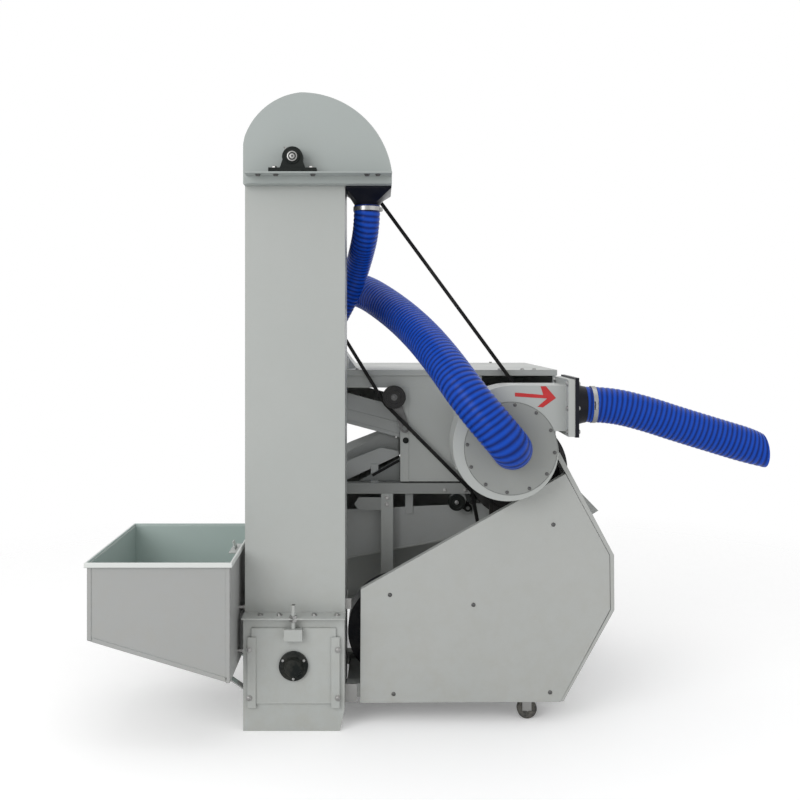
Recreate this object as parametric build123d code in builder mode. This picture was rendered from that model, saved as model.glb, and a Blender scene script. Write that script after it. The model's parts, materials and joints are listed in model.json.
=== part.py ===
from build123d import *
from math import asin, cos, degrees, radians, sin, tan
import os

os.makedirs("parts", exist_ok=True)

# Gravity separator with its bucket elevator, in millimetres.
# X runs to the right seen from the front, Y away from the front, Z up.
# The origin is on the floor under the middle of the elevator boot.

# General stock and fits
sheet = 2
plate = 5
run_fit = 0.05
air = 0.3
seam = 0.2
shaft_r = 15
bolt_hole_r = 6
pin_r = 6

# Elevator
leg_width = 300
leg_depth = 180
boot_height = 340
boot_depth = 260
boot_taper = 14
boot_taper_height = 62
ledge_overhang = 25
ledge_thick = 4
leg_top = 1620
head_depth = 260
head_rise = 269
head_reach = 290
head_roll_r = (271.9, 197.2)
head_crown_x = 20
shelf_height = 25
shelf_inset = 11
head_shaft_z = 1690
boot_shaft_z = 196
drum_r = 70
drum_width = 130
bucket_belt_thick = 4
bucket_reach = 52
bucket_height = 78
bucket_width = 122
bucket_count = 23
takeup_travel = 20

# Outlet funnel and feed hose
funnel_x = (152, 289)
funnel_half_depth = 95
neck_x = 215
collar = 6
neck_z = 1572
feed_hose_r = 41
hose_wall = 2

# Hopper
hopper_length = 402
hopper_gap = 18
hopper_half_depth = 263
hopper_top = 532
hopper_low = 192
hopper_high = 312
rim_r = 7
throat_half_width = 58
throat_z = (214, 325)
gate_travel = 110

# Machine frame
frame_x = (-120, 838)
frame_y = (205, 870)
rail = 40
rail_wall = 4
top_rail_z = (643, 678)
base_z = (78, 118)
base_front_y = -70
base_right = 798
mid_post_x = 259
sill_x = 450

# Drives
belt_width = 17
belt_thick = 11
belt_bevel = 3.2
groove_y = (162, 182)
big_pitch = 158
main_shaft = (703, 733)
idler = (302, 965)
idler_pitch = 37
fan_axis = (639, 838)
fan_pitch = 37.5
drive_axis = (681, 230)
drive_pitch = 80
main_drive_pitch = 45
blower_axis = (310, 226)
blower_pitch = 45
fan_belt_y = 18
blower_belt_y = 38

# Suction fan
fan_y = (-150, -10)
fan_r = 140
fan_grow = 45
fan_wall = 3
tongue = 22
duct_end = 801
cover_r = 135.6
inlet_r = 54
suction_hose_r = 59
outlet_hose_r = 54
flange_z = (876, 1042)
flange_y = (-185, 25)

# Deck blower
blower_y = (78, 184)
blower_r = 138
blower_grow = 28
blower_end = 448
blower_inlet_r = 100

# Housing and hood
side_x = 323
panel_z = (684, 995)
hood_z = (995, 1054)
band_z = 1035
port = (30, 470)
port_z = 1205
feed_port = (88, 262)
feed_port_z = 1100

# Deck and hung box
deck_x = (0, 600)
deck_y = (250, 825)
deck_tilt = 15
deck_height = 103
deck_ref = (142, 873)
rocker_length = 60
rocker_foot_z = 700
rocker_x = (75, 540)
box_x = (-60, 745)
box_y = (262, 808)
arm_hub = ((40, 600), (515, 622))
arm_reach = (36, -34)
eccentric = 5
rod_y = (300, 324)
rod_pin = (636, 770)


def front(y):
    """Sketch plane facing the front at depth y, with sketch x along X and sketch y along Z."""
    return Plane((0, y, 0), x_dir=(1, 0, 0), z_dir=(0, -1, 0))


def block(x, y, z, mode=Mode.ADD):
    """Block between two X, two Y and two Z values."""
    with Locations(((x[0] + x[1]) / 2, (y[0] + y[1]) / 2, (z[0] + z[1]) / 2)):
        Box(x[1] - x[0], y[1] - y[0], z[1] - z[0], mode=mode)


def bar(x, z, y, r, mode=Mode.ADD, bore=0):
    """Round bar or ring along Y, from y[0] to y[1]."""
    with BuildSketch(front(y[1])) as disc:
        with Locations((x, z)):
            Circle(r)
            if bore:
                Circle(bore, mode=Mode.SUBTRACT)
    extrude(disc.sketch, amount=y[1] - y[0], mode=mode)


def profile(points, y, mode=Mode.ADD):
    """Plate with a straight-sided outline in X and Z, from y[0] to y[1]."""
    with BuildSketch(front(y[1])) as side:
        with BuildLine():
            Polyline(*points, close=True)
        make_face()
    extrude(side.sketch, amount=y[1] - y[0], mode=mode)


def angle_x(x, y, z, mode=Mode.ADD):
    """Angle iron along X: upright leg at y[0], flat leg at z[1], or at z[0] when z runs down."""
    lift = rail_wall if z[1] > z[0] else -rail_wall
    back = rail_wall if y[1] > y[0] else -rail_wall
    points = [(y[0], z[0]), (y[0], z[1]), (y[1], z[1]), (y[1], z[1] - lift),
              (y[0] + back, z[1] - lift), (y[0] + back, z[0])]
    with BuildSketch(Plane((x[0], 0, 0), x_dir=(0, 1, 0), z_dir=(1, 0, 0))) as section:
        with BuildLine():
            Polyline(*points, close=True)
        make_face()
    extrude(section.sketch, amount=x[1] - x[0], mode=mode)


def angle_y(y, x, z):
    """Angle iron along Y: upright leg at x[0], flat leg at z[1]."""
    side = rail_wall if x[1] > x[0] else -rail_wall
    points = [(x[0], z[0]), (x[0], z[1]), (x[1], z[1]), (x[1], z[1] - rail_wall),
              (x[0] + side, z[1] - rail_wall), (x[0] + side, z[0])]
    profile(points, y)


def angle_z(z, x, y):
    """Upright angle iron: one leg along the line x[0], the other along y[0]."""
    side = rail_wall if x[1] > x[0] else -rail_wall
    back = rail_wall if y[1] > y[0] else -rail_wall
    points = [(x[0], y[0]), (x[1], y[0]), (x[1], y[0] + back), (x[0] + side, y[0] + back),
              (x[0] + side, y[1]), (x[0], y[1])]
    with BuildSketch(Plane.XY.offset(z[0])) as section:
        with BuildLine():
            Polyline(*points, close=True)
        make_face()
    extrude(section.sketch, amount=z[1] - z[0])


def pulley(x, z, grooves, pitch, bore):
    """Pulley turned about Y with one V groove at each depth in grooves."""
    foot = pitch - belt_thick / 2 - 1
    rim = pitch + 3
    top_half = belt_width / 2 + 0.4
    foot_half = belt_width / 2 - belt_bevel
    low, high = grooves[0] - 12, grooves[-1] + 12
    points = [(bore, low), (rim, low)]
    for y in grooves:
        points += [(rim, y - top_half), (foot, y - foot_half), (foot, y + foot_half), (rim, y + top_half)]
    points += [(rim, high), (bore, high)]
    with BuildSketch(Plane((x, 0, z))) as half:
        with BuildLine():
            Polyline(*points, close=True)
        make_face()
    revolve(half.sketch, axis=Axis((x, 0, z), (0, 1, 0)))


def lighten(x, z, y, pitch, holes):
    """Turn a big pulley down to a web between hub and rim, and pierce the web."""
    middle = (y[0] + y[1]) / 2
    for side in ((y[0] - 1, middle - 5), (middle + 5, y[1] + 1)):
        bar(x, z, side, pitch - 20, Mode.SUBTRACT, bore=32)
    with BuildSketch(front(y[1])) as openings:
        with Locations((x, z)):
            with PolarLocations(pitch * 0.55, holes):
                Circle(pitch * 0.17)
    extrude(openings.sketch, amount=y[1] - y[0], mode=Mode.SUBTRACT)


def belt(circles, y):
    """V-belt round pulleys given as (x, z, pitch radius), its inner side narrowed to the groove."""
    def loop(grow):
        for x, z, r in circles:
            with Locations((x, z)):
                Circle(r + grow)
        make_hull()

    with BuildSketch(front(y + belt_width / 2)) as band:
        loop(belt_thick / 2)
        with BuildSketch(mode=Mode.PRIVATE) as inside:
            loop(-belt_thick / 2)
        add(inside.sketch, mode=Mode.SUBTRACT)
    ring = extrude(band.sketch, amount=belt_width, mode=Mode.PRIVATE).solid()
    for number in (0, -1):
        side = ring.faces().filter_by(Axis.Y).sort_by(Axis.Y)[number]
        ring = ring.chamfer(belt_thick - 1.1, belt_bevel, side.inner_wires()[0].edges(), side)
    add(ring)


def pillow_block(x, z, y, height, bore=shaft_r + run_fit):
    """Pillow block bearing centred at depth y, with its foot height below the shaft."""
    with BuildSketch(front(y + 16)) as housing:
        with Locations((x, z)):
            Circle(30)
        with BuildLine():
            Polyline((x - 38, z - height + 10), (x + 38, z - height + 10), (x + 28, z - 6),
                     (x - 28, z - 6), close=True)
        make_face()
    extrude(housing.sketch, amount=32)
    block((x - 70, x + 70), (y - 19, y + 19), (z - height, z - height + 13))
    bar(x, z, (y - 21, y + 21), 20)
    bar(x, z, (y - 22, y + 22), bore, Mode.SUBTRACT)


def flange_bearing(x, z, seat, out, closed=False, bore=shaft_r + run_fit):
    """Round flange bearing on a wall at depth seat, standing out along Y by the sign of out."""
    reach = 20 * out
    points = [(bore, 0), (43, 0), (43, reach * 0.45), (30, reach * 0.6), (26, reach), (bore, reach)]
    if closed:
        points = [(bore, 0), (43, 0), (43, reach * 0.45), (30, reach * 0.6), (24, reach * 1.35),
                  (0, reach * 1.35), (0, reach * 1.25), (bore, reach * 1.25)]
    with BuildSketch(Plane((x, seat, z))) as half:
        with BuildLine():
            Polyline(*points, close=True)
        make_face()
    revolve(half.sketch, axis=Axis((x, 0, z), (0, 1, 0)))


def volute(axis, radius, grow, exit_length, nose):
    """Fan casing outline in X and Z: an opening spiral, then a straight outlet duct.

    The spiral runs from its tongue, nose degrees above the right, below and round to the top,
    each part of it an arc through three points.
    """
    def at(a):
        r = radius + grow * a / 270
        return axis[0] + r * cos(radians(a)), axis[1] - r * sin(radians(a))

    stops = [-nose, 25, 72, 121, 170, 220, 270]
    with BuildLine() as edge:
        for first in (0, 2, 4):
            ThreePointArc(at(stops[first]), at(stops[first + 1]), at(stops[first + 2]))
        duct_x = axis[0] + exit_length
        Polyline(at(270), (duct_x, at(270)[1]), (duct_x, at(-nose)[1]), at(-nose))
    return edge.edges()


def duct_floor(radius, grow):
    """Height of the duct floor above the fan axis."""
    return (radius - grow * tongue / 270) * sin(radians(tongue))


def casing(axis, radius, grow, exit_length, y, wall):
    """Hollow fan casing, open at its duct end."""
    start = radius - grow * tongue / 270
    lean = degrees(asin((duct_floor(radius, grow) + wall) / (start - wall)))
    shells = ((0, exit_length, tongue, y, Mode.ADD),
              (wall, exit_length + 1, lean, (y[0] + wall, y[1] - wall), Mode.SUBTRACT))
    for skin, reach, nose, depth, cut in shells:
        with BuildSketch(front(depth[1])) as shape:
            with BuildLine():
                add(volute(axis, radius - skin, grow, reach, nose))
            make_face()
        extrude(shape.sketch, amount=depth[1] - depth[0], mode=cut)


def hose(points, radii, r):
    """Plain hose along straight runs joined by tangent arcs."""
    with BuildLine() as route:
        FilletPolyline(*points, radius=radii)
    with BuildSketch(Plane(origin=route.line @ 0, z_dir=route.line % 0)) as section:
        Circle(r)
        Circle(r - hose_wall, mode=Mode.SUBTRACT)
    sweep(section.sketch, path=route.line)


half_w = leg_width / 2
half_d = leg_depth / 2
boot_d = boot_depth / 2
head_d = head_depth / 2

takeup_face = boot_d + air
plate_out = takeup_face + plate
screw_y = boot_d + 17

# Elevator boot, with its ledge, shaft slots, feed opening, anchor holes, plate guides and screw nuts
with BuildPart() as boot_casing:
    boot_side = [(-half_w, 0), (half_w - boot_taper, 0), (half_w, boot_taper_height),
                 (half_w, boot_height - ledge_thick), (-half_w, boot_height - ledge_thick)]
    profile(boot_side, (-boot_d, boot_d))
    offset(amount=-sheet, openings=boot_casing.faces().sort_by(Axis.Z)[-1])
    block((-half_w - 2, half_w + 2), (-boot_d - ledge_overhang, boot_d + ledge_overhang),
          (boot_height - ledge_thick, boot_height))
    block((-half_w + sheet, half_w - sheet), (-half_d + sheet, half_d - sheet),
          (boot_height - ledge_thick - 1, boot_height + 1), Mode.SUBTRACT)
    block((-half_w - 1, -half_w + 3), (-throat_half_width, throat_half_width), throat_z, Mode.SUBTRACT)
    for side in (-1, 1):
        with BuildSketch(front(side * boot_d + 4)):
            with Locations((0, boot_shaft_z + takeup_travel / 2)):
                SlotCenterToCenter(takeup_travel + 20, 2 * shaft_r + 16, rotation=90)
        extrude(amount=8, mode=Mode.SUBTRACT)
    with BuildSketch(Plane.XY.offset(boot_height - ledge_thick)):
        with Locations((0, -boot_d - 17), (0, boot_d + 17)):
            Circle(7)
    extrude(amount=ledge_thick, mode=Mode.SUBTRACT)
    with BuildSketch(Plane.XY):
        with GridLocations(220, 200, 2, 2):
            Circle(bolt_hole_r)
    extrude(amount=sheet, mode=Mode.SUBTRACT)

    for side in (-1, 1):
        for hand in (-1, 1):
            outer, inner = sorted((hand * 136, hand * 126)), sorted((hand * 127, hand * 111))
            depth = sorted((side * boot_d, side * (plate_out + 4)))
            lip = sorted((side * (plate_out + air), side * (plate_out + 4)))
            block(outer, depth, (71, 280))
            block(inner, lip, (71, 280))
    for side in (-1, 1):
        for z in (boot_height - ledge_thick - 6, boot_height):
            with BuildSketch(Plane.XY.offset(z)):
                with Locations((0, side * screw_y)):
                    RegularPolygon(10, 6)
                    Circle(pin_r + air, mode=Mode.SUBTRACT)
            extrude(amount=6)

# Take-up plates with their screws, and the bearings and drum they carry
with BuildPart() as takeup_plates:
    for side in (-1, 1):
        depth = sorted((side * takeup_face, side * plate_out))
        block((-125, 125), depth, (83, 306))
        bar(0, boot_shaft_z, depth, shaft_r + 8, Mode.SUBTRACT)
        block((-27, 27), sorted((side * plate_out, side * (plate_out + 24))), (274, 308))
        with BuildSketch(Plane.XY.offset(290)):
            with Locations((0, side * screw_y)):
                Circle(pin_r)
        extrude(amount=88)

with BuildPart() as boot_bearings:
    flange_bearing(0, boot_shaft_z, -plate_out, -1, closed=True)
    flange_bearing(0, boot_shaft_z, plate_out, 1)

with BuildPart() as boot_drum:
    bar(0, boot_shaft_z, (-drum_width / 2, drum_width / 2), drum_r)
    for side in (-1, 1):
        ends = sorted((side * (drum_width / 2 - 52), side * (drum_width / 2 + 1)))
        bar(0, boot_shaft_z, ends, drum_r - 5, Mode.SUBTRACT, bore=24)
    bar(0, boot_shaft_z, (-plate_out - 22, plate_out + 26), shaft_r)

# Leg, head casing with its bearing shelves, and the drive end
with BuildPart() as leg_casing:
    with BuildSketch(Plane.XY.offset(boot_height)):
        Rectangle(leg_width, leg_depth)
        Rectangle(leg_width - 2 * sheet, leg_depth - 2 * sheet, mode=Mode.SUBTRACT)
    extrude(amount=leg_top - boot_height - sheet)

with BuildPart() as head_casing:
    for skin, cut in ((0, Mode.ADD), (sheet, Mode.SUBTRACT)):
        crown = (head_crown_x, leg_top + head_rise - skin)
        corner = (-half_w + skin + 4, leg_top + 137)
        nose = (head_reach - skin, leg_top + 35)
        with BuildSketch(front(head_d - skin)) as outline:
            with BuildLine():
                Polyline(corner, (-half_w + skin, leg_top + 115), (-half_w + skin, leg_top),
                         (head_reach - skin, leg_top), nose)
                RadiusArc(nose, crown, -(head_roll_r[0] - skin))
                RadiusArc(crown, corner, -(head_roll_r[1] - skin))
            make_face()
        extrude(outline.sketch, amount=head_depth - 2 * skin, mode=cut)
    block((-half_w, head_reach), (-head_d, head_d), (leg_top - sheet, leg_top))
    block((-half_w + sheet, half_w - sheet), (-half_d + sheet, half_d - sheet),
          (leg_top - 5, leg_top + 1), Mode.SUBTRACT)
    block((funnel_x[0] + sheet, funnel_x[1] - sheet),
          (-funnel_half_depth + sheet, funnel_half_depth - sheet), (leg_top - 5, leg_top + 1), Mode.SUBTRACT)
    for side, reach in ((-1, 60), (1, 30)):
        angle_x((-half_w + shelf_inset, head_reach), (side * head_d, side * (head_d + reach)),
                (leg_top, leg_top + shelf_height))
    bar(0, head_shaft_z, (-head_d - 1, head_d + 1), shaft_r + 8, Mode.SUBTRACT)

with BuildPart() as head_drum:
    bar(0, head_shaft_z, (-drum_width / 2, drum_width / 2), drum_r)
    for side in (-1, 1):
        ends = sorted((side * (drum_width / 2 - 52), side * (drum_width / 2 + 1)))
        bar(0, head_shaft_z, ends, drum_r - 5, Mode.SUBTRACT, bore=24)
    bar(0, head_shaft_z, (-head_d - 58, groove_y[1] + 24), shaft_r)

with BuildPart() as head_pulley:
    pulley(0, head_shaft_z, (groove_y[1],), big_pitch, shaft_r + run_fit)
    lighten(0, head_shaft_z, (groove_y[1] - 12, groove_y[1] + 12), big_pitch, 6)

# Bucket belt and its buckets, spaced evenly round the two drums
belt_r = drum_r + air
lift = head_shaft_z - boot_shaft_z
with BuildPart() as bucket_belt:
    with BuildSketch(front(drum_width / 2 - 4)):
        with Locations((0, (head_shaft_z + boot_shaft_z) / 2)):
            SlotCenterToCenter(lift, 2 * (belt_r + bucket_belt_thick), rotation=90)
            SlotCenterToCenter(lift, 2 * belt_r, rotation=90, mode=Mode.SUBTRACT)
    extrude(amount=drum_width - 8)


def bucket_plane(distance):
    """Plane on the outside of the bucket belt, its x outwards and its y along the travel."""
    r = belt_r + bucket_belt_thick + air
    wrap = 3.14159265 * r
    s = distance % (2 * lift + 2 * wrap)
    if s < lift:
        return Plane((-r, 0, boot_shaft_z + s), x_dir=(-1, 0, 0), z_dir=(0, 1, 0))
    if s < lift + wrap:
        a = (s - lift) / r
        out = (-cos(a), 0, sin(a))
        return Plane((r * out[0], 0, head_shaft_z + r * out[2]), x_dir=out, z_dir=(0, 1, 0))
    if s < 2 * lift + wrap:
        return Plane((r, 0, head_shaft_z - s + lift + wrap), x_dir=(1, 0, 0), z_dir=(0, 1, 0))
    a = (s - 2 * lift - wrap) / r
    out = (cos(a), 0, -sin(a))
    return Plane((r * out[0], 0, boot_shaft_z + r * out[2]), x_dir=out, z_dir=(0, 1, 0))


loop_length = 2 * lift + 2 * 3.14159265 * (belt_r + bucket_belt_thick + air)
with BuildPart() as buckets:
    for number in range(bucket_count):
        place = bucket_plane((number + 0.5) * loop_length / bucket_count)
        with BuildSketch(place.offset(-bucket_width / 2)):
            with BuildLine():
                Polyline((0, -bucket_height / 2), (14, -bucket_height / 2), (bucket_reach, 8),
                         (bucket_reach, 22), (0, bucket_height / 2), close=True)
            make_face()
        extrude(amount=bucket_width)
        with BuildSketch(place.offset(-bucket_width / 2 + sheet)):
            with BuildLine():
                Polyline((2, -bucket_height / 2 + 2), (13, -bucket_height / 2 + 2), (bucket_reach - 2, 9),
                         (bucket_reach - 2, 30), (2, bucket_height / 2 + 6), close=True)
            make_face()
        extrude(amount=bucket_width - 2 * sheet, mode=Mode.SUBTRACT)

# Outlet funnel and the feed hose down to the hood
with BuildPart() as discharge_funnel:
    funnel_mid = sum(funnel_x) / 2
    collar_low = leg_top - sheet - collar
    for skin, cut in ((0, Mode.ADD), (sheet, Mode.SUBTRACT)):
        size = (funnel_x[1] - funnel_x[0] - 2 * skin, 2 * (funnel_half_depth - skin))
        with BuildSketch(Plane((funnel_mid, 0, collar_low))) as top:
            Rectangle(*size)
        extrude(amount=collar, mode=cut)
        with BuildSketch(Plane((funnel_mid, 0, collar_low))):
            Rectangle(*size)
        with BuildSketch(Plane((neck_x, 0, neck_z))):
            Circle(feed_hose_r - hose_wall - air - skin)
        loft(mode=cut)
        with BuildSketch(Plane((neck_x, 0, neck_z - 22))):
            Circle(feed_hose_r - hose_wall - air - skin)
        extrude(amount=22, mode=cut)

with BuildPart() as feed_hose:
    hose([(neck_x, 0, neck_z - 2), (neck_x, 0, 1500), (190, 128, 1405), (164, 182, 1305),
          (*feed_port, 1175), (*feed_port, feed_port_z)],
         [90, 200, 400, 100], feed_hose_r)

with BuildPart() as hopper:
    x1 = -half_w - hopper_gap
    x0 = x1 - hopper_length
    d = hopper_half_depth
    wedge = [(x0, hopper_top - rim_r), (x1, hopper_top - rim_r), (x1, hopper_low), (x0, hopper_high)]
    profile(wedge, (-d, d))
    offset(amount=-sheet, openings=hopper.faces().sort_by(Axis.Z)[-1])
    with BuildSketch(Plane.XY.offset(hopper_top - 2 * rim_r)) as rim:
        with Locations(((x0 + x1) / 2, 0)):
            Rectangle(x1 - x0 + 2 * rim_r, 2 * (d + rim_r))
            Rectangle(x1 - x0 - 0.2, 2 * d - 0.2, mode=Mode.SUBTRACT)
    extrude(amount=2 * rim_r)
    rolled = hopper.edges().group_by(Axis.Z)[-1]
    fillet(rolled, rim_r * 0.45)
    block((x1 - 3, x1 + 1), (-throat_half_width, throat_half_width), throat_z, Mode.SUBTRACT)
    half_t = throat_half_width + 3
    block((x1, -half_w), (-half_t, half_t), (throat_z[0] - 3, throat_z[1] + 3))
    block((x1 - 1, -half_w + 1), (-throat_half_width, throat_half_width), throat_z, Mode.SUBTRACT)
    for side in (-1, 1):
        guide = sorted((side * (throat_half_width + 9), side * (throat_half_width + 19)))
        lip = sorted((side * (throat_half_width + 1), side * (throat_half_width + 10)))
        block((x1 - 10, x1 - sheet), guide, (216, 480))
        block((x1 - 10, x1 - 6.6), lip, (216, 480))
        strap = [(x1 - 24, 200), (x1 - 20, 200), (x1 - 20, 151), (-half_w, 125), (-half_w, 121), (x1 - 24, 149)]
        profile(strap, sorted((side * 95, side * 125)))

with BuildPart() as slide_gate:
    face = x1 - sheet - air
    block((face - 3, face), (-throat_half_width - 8, throat_half_width + 8), (206, 508))
    block((face - 34, face), (-60, 60), (508, 511))

# Base, posts and rails of the machine frame
left, right = frame_x
near, far = frame_y
with BuildPart() as base_rails:
    angle_x((half_w + 4, base_right), (base_front_y, base_front_y + rail), base_z)
    angle_x((left, base_right), (near, near + rail), base_z)
    angle_x((left, base_right), (far, far - rail), base_z)
    for x in ((sill_x, sill_x + rail), (base_right, base_right - rail)):
        angle_y((base_front_y + rail + seam, near - seam), x, base_z)
        angle_y((near + rail + seam, far - rail - seam), x, base_z)
    angle_y((near + rail + seam, far - rail - seam), (left, left + rail), base_z)

with BuildPart() as frame_posts:
    for x in ((left, left + rail), (mid_post_x + rail, mid_post_x), (base_right, base_right - rail)):
        angle_z((base_z[1], top_rail_z[0]), x, (near, near + rail))
        angle_z((base_z[1], top_rail_z[0]), x, (far, far - rail))
    for y in ((near, near + rail), (far, far - rail)):
        angle_z((top_rail_z[1], hood_z[0]), (left, left + rail), y)
    for x, top in ((273, 430), (525, 570), (766, 715)):
        angle_z((base_z[1], top), (x, x + 25), (base_front_y - 3, base_front_y + 20))

with BuildPart() as top_rails:
    angle_x((left, right), (near, near + rail), top_rail_z)
    angle_x((left, right), (far, far - rail), top_rail_z)
    for x in ((left, left + rail), (right, right - rail)):
        angle_y((near + rail + seam, far - rail - seam), x, top_rail_z)
    gusset = [(140, 613), (150, 628), (mid_post_x, 628), (mid_post_x, 590), (150, 590)]
    profile([(170, 609), (185, 631), (mid_post_x, 631), (mid_post_x, 589), (185, 589)], (near, near + 4))

# Front guard: folded cover plate and the end panel round its right side
guard_y = -75
cover_points = [(195, 61), (197, 403), (814.5, 752), (947.5, 506), (949.3, 343), (799.5, 64)]
with BuildPart() as front_cover:
    profile(cover_points, (guard_y, guard_y + sheet))
    profile([(197, 403), (814.5, 752), (810.2, 747.3), (198, 401.3)], (guard_y, guard_y + 26))
    profile([(195, 61), (799.5, 64), (796, 66), (195.1, 63.2)], (guard_y, guard_y + 9))
    profile([(195, 61), (197, 403), (199, 401), (197.1, 64)], (guard_y, base_front_y - air))

with BuildPart() as guard_end_panel:
    outer = [(797, 817), (961, 507), (962, 341), (808, 66)]
    web = [(795.2, 816), (959, 506.5), (960, 341.5), (806.2, 67)]
    lip = [(784.5, 810.5), (949, 506.3), (951, 342), (801, 66)]
    profile(outer + web[::-1], (guard_y, 140))
    profile(outer + lip[::-1], (guard_y, guard_y + sheet))

# Housing walls
with BuildPart() as side_plate:
    block((side_x, right), (near, near + sheet), panel_z)
    block((side_x, side_x + sheet), (near, near + 30), panel_z)
    block((side_x, side_x + 28), (near - sheet, near), panel_z)
    bar(*main_shaft, (near - 1, near + 3), shaft_r + 7, Mode.SUBTRACT)

with BuildPart() as housing_back:
    block((side_x, right), (far - sheet, far), panel_z)
    block((right - sheet, right), (near + sheet, far - sheet), panel_z)
    block((right - 4, right + 1), (328, 782), (panel_z[0] - 1, 742), Mode.SUBTRACT)
    block((side_x + 60, side_x + 300), (far - 3, far + 1), (800, 940), Mode.SUBTRACT)
    block((side_x + 50, side_x + 310), (far, far + sheet), (790, 950))
    bar(*main_shaft, (far - 3, far + 3), shaft_r + 7, Mode.SUBTRACT)

with BuildPart() as hood:
    block((left, right), (near, far), hood_z)
    block((left - 5, right + 4), (near - 6, far + 6), (band_z, hood_z[1]))
    block((left + sheet, right - sheet), (near + sheet, far - sheet), (hood_z[0] - 1, hood_z[1] - sheet),
          Mode.SUBTRACT)
    block((593, right - 10), (near - 2, near + 3), (998, band_z - 1), Mode.SUBTRACT)
    for spot, r in ((port, suction_hose_r), (feed_port, feed_hose_r)):
        with BuildSketch(Plane((*spot, hood_z[1] - 3))):
            Circle(r)
        extrude(amount=4, mode=Mode.SUBTRACT)

with BuildPart() as hood_ports:
    for skin, cut in ((0, Mode.ADD), (sheet, Mode.SUBTRACT)):
        with BuildSketch(Plane((port[0], port[1], hood_z[1]))):
            Rectangle(290 - 2 * skin, 270 - 2 * skin)
        with BuildSketch(Plane((port[0], port[1], port_z - 20))):
            Circle(suction_hose_r - hose_wall - air - skin)
        loft(mode=cut)
        with BuildSketch(Plane((port[0], port[1], port_z - 20))):
            Circle(suction_hose_r - hose_wall - air - skin)
        extrude(amount=50, mode=cut)
        with BuildSketch(Plane((*feed_port, hood_z[1] - 0.5 * skin))):
            Rectangle(120 - 2 * skin, 104 - 2 * skin)
        extrude(amount=feed_port_z - 10 - hood_z[1] - 0.5 * skin, mode=cut)
        with BuildSketch(Plane((*feed_port, feed_port_z - 14))):
            Circle(feed_hose_r - hose_wall - air - skin)
        extrude(amount=44, mode=cut)

# Hoses to and from the fan
with BuildPart() as suction_hose:
    hose([(*port, port_z), (30, 470, 1350), (184, 400, 1334), (289, 240, 1263), (374, 60, 1184),
          (445, -120, 1092), (514, -235, 985), (fan_axis[0], -255, fan_axis[1]),
          (fan_axis[0], fan_y[0] - 8, fan_axis[1])],
         [95, 200, 900, 1000, 450, 300, 75], suction_hose_r)

duct_y = (fan_y[0] + fan_y[1]) / 2
outlet_z = sum(flange_z) / 2 + 3
with BuildPart() as outlet_hose:
    hose([(846, duct_y, outlet_z), (945, duct_y, outlet_z), (1060, duct_y, 933), (1160, duct_y, 899),
          (1410, duct_y, 824)], [300, 500, 900], outlet_hose_r)

# Suction fan
with BuildPart() as fan_scroll:
    casing(fan_axis, fan_r, fan_grow, duct_end - fan_axis[0], fan_y, fan_wall)
    duct_top = fan_axis[1] + fan_r + fan_grow
    duct_low = fan_axis[1] + duct_floor(fan_r, fan_grow)
    bar(*fan_axis, (fan_y[0] - 1, fan_y[0] + 4), cover_r - 12, Mode.SUBTRACT)
    bar(*fan_axis, (fan_y[1] - 4, fan_y[1] + 1), shaft_r + 8, Mode.SUBTRACT)
    block((duct_end, duct_end + 20), flange_y, flange_z)
    block((duct_end - 1, duct_end + 21), (fan_y[0] + fan_wall, fan_y[1] - fan_wall),
          (duct_low + fan_wall, duct_top - fan_wall), Mode.SUBTRACT)

with BuildPart() as fan_cover:
    bar(*fan_axis, (fan_y[0] - 3, fan_y[0]), cover_r, bore=inlet_r)
    bar(*fan_axis, (fan_y[0] - 20, fan_y[0] - 3), suction_hose_r - hose_wall - air, bore=inlet_r)

with BuildPart() as outlet_transition:
    plate_x = duct_end + 20
    block((plate_x, plate_x + 11), (flange_y[0] - 2, flange_y[1] + 2), (flange_z[0] - 2, flange_z[1] + 5))
    for skin, cut in ((0, Mode.ADD), (sheet, Mode.SUBTRACT)):
        neck_r = outlet_hose_r - hose_wall - air - skin
        with BuildSketch(Plane((plate_x + 11, duct_y, outlet_z), x_dir=(0, 1, 0), z_dir=(1, 0, 0))):
            Circle(outlet_hose_r + 3 - skin)
        with BuildSketch(Plane((plate_x + 24, duct_y, outlet_z), x_dir=(0, 1, 0), z_dir=(1, 0, 0))):
            Circle(neck_r)
        loft(mode=cut)
        with BuildSketch(Plane((plate_x + 24, duct_y, outlet_z), x_dir=(0, 1, 0), z_dir=(1, 0, 0))):
            Circle(neck_r)
        extrude(amount=56, mode=cut)
    with BuildSketch(Plane((plate_x - 1, duct_y, outlet_z), x_dir=(0, 1, 0), z_dir=(1, 0, 0))):
        Circle(outlet_hose_r + 1)
    extrude(amount=12, mode=Mode.SUBTRACT)

with BuildPart() as fan_impeller:
    bar(*fan_axis, (-24, -20), fan_r - 22)
    bar(*fan_axis, (-70, -20), 26)
    with BuildSketch(front(-24)):
        with Locations(fan_axis):
            with PolarLocations(76, 8):
                Rectangle(76, 4, rotation=32)
    extrude(amount=100)
    bar(*fan_axis, (-71, -19), shaft_r + run_fit, Mode.SUBTRACT)

with BuildPart() as fan_shaft:
    bar(*fan_axis, (-72, 130), shaft_r)
    pulley(*fan_axis, (fan_belt_y,), fan_pitch, shaft_r - 1)

fan_block_height = 42
stand_top = fan_axis[1] - fan_block_height
with BuildPart() as fan_stand:
    block((490, 530), (fan_y[1], near - sheet), (stand_top - 40, stand_top - 36))
    block((490, 494), (fan_y[1], near - sheet), (stand_top - 40, stand_top))
    block((494, 718), (45, 134), (stand_top - 6, stand_top))
    block((494, 718), (134, 140), (stand_top - 40, 1000))
    block((560, 700), (133, 141), (860, 970), Mode.SUBTRACT)
    block((600, 640), (140, near - sheet), (996, 1000))
    block((600, 604), (140, near - sheet), (960, 996))
    block((600, 640), (fan_y[1], 134), (996, 1000))
    block((600, 604), (fan_y[1], 134), (960, 996))

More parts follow.
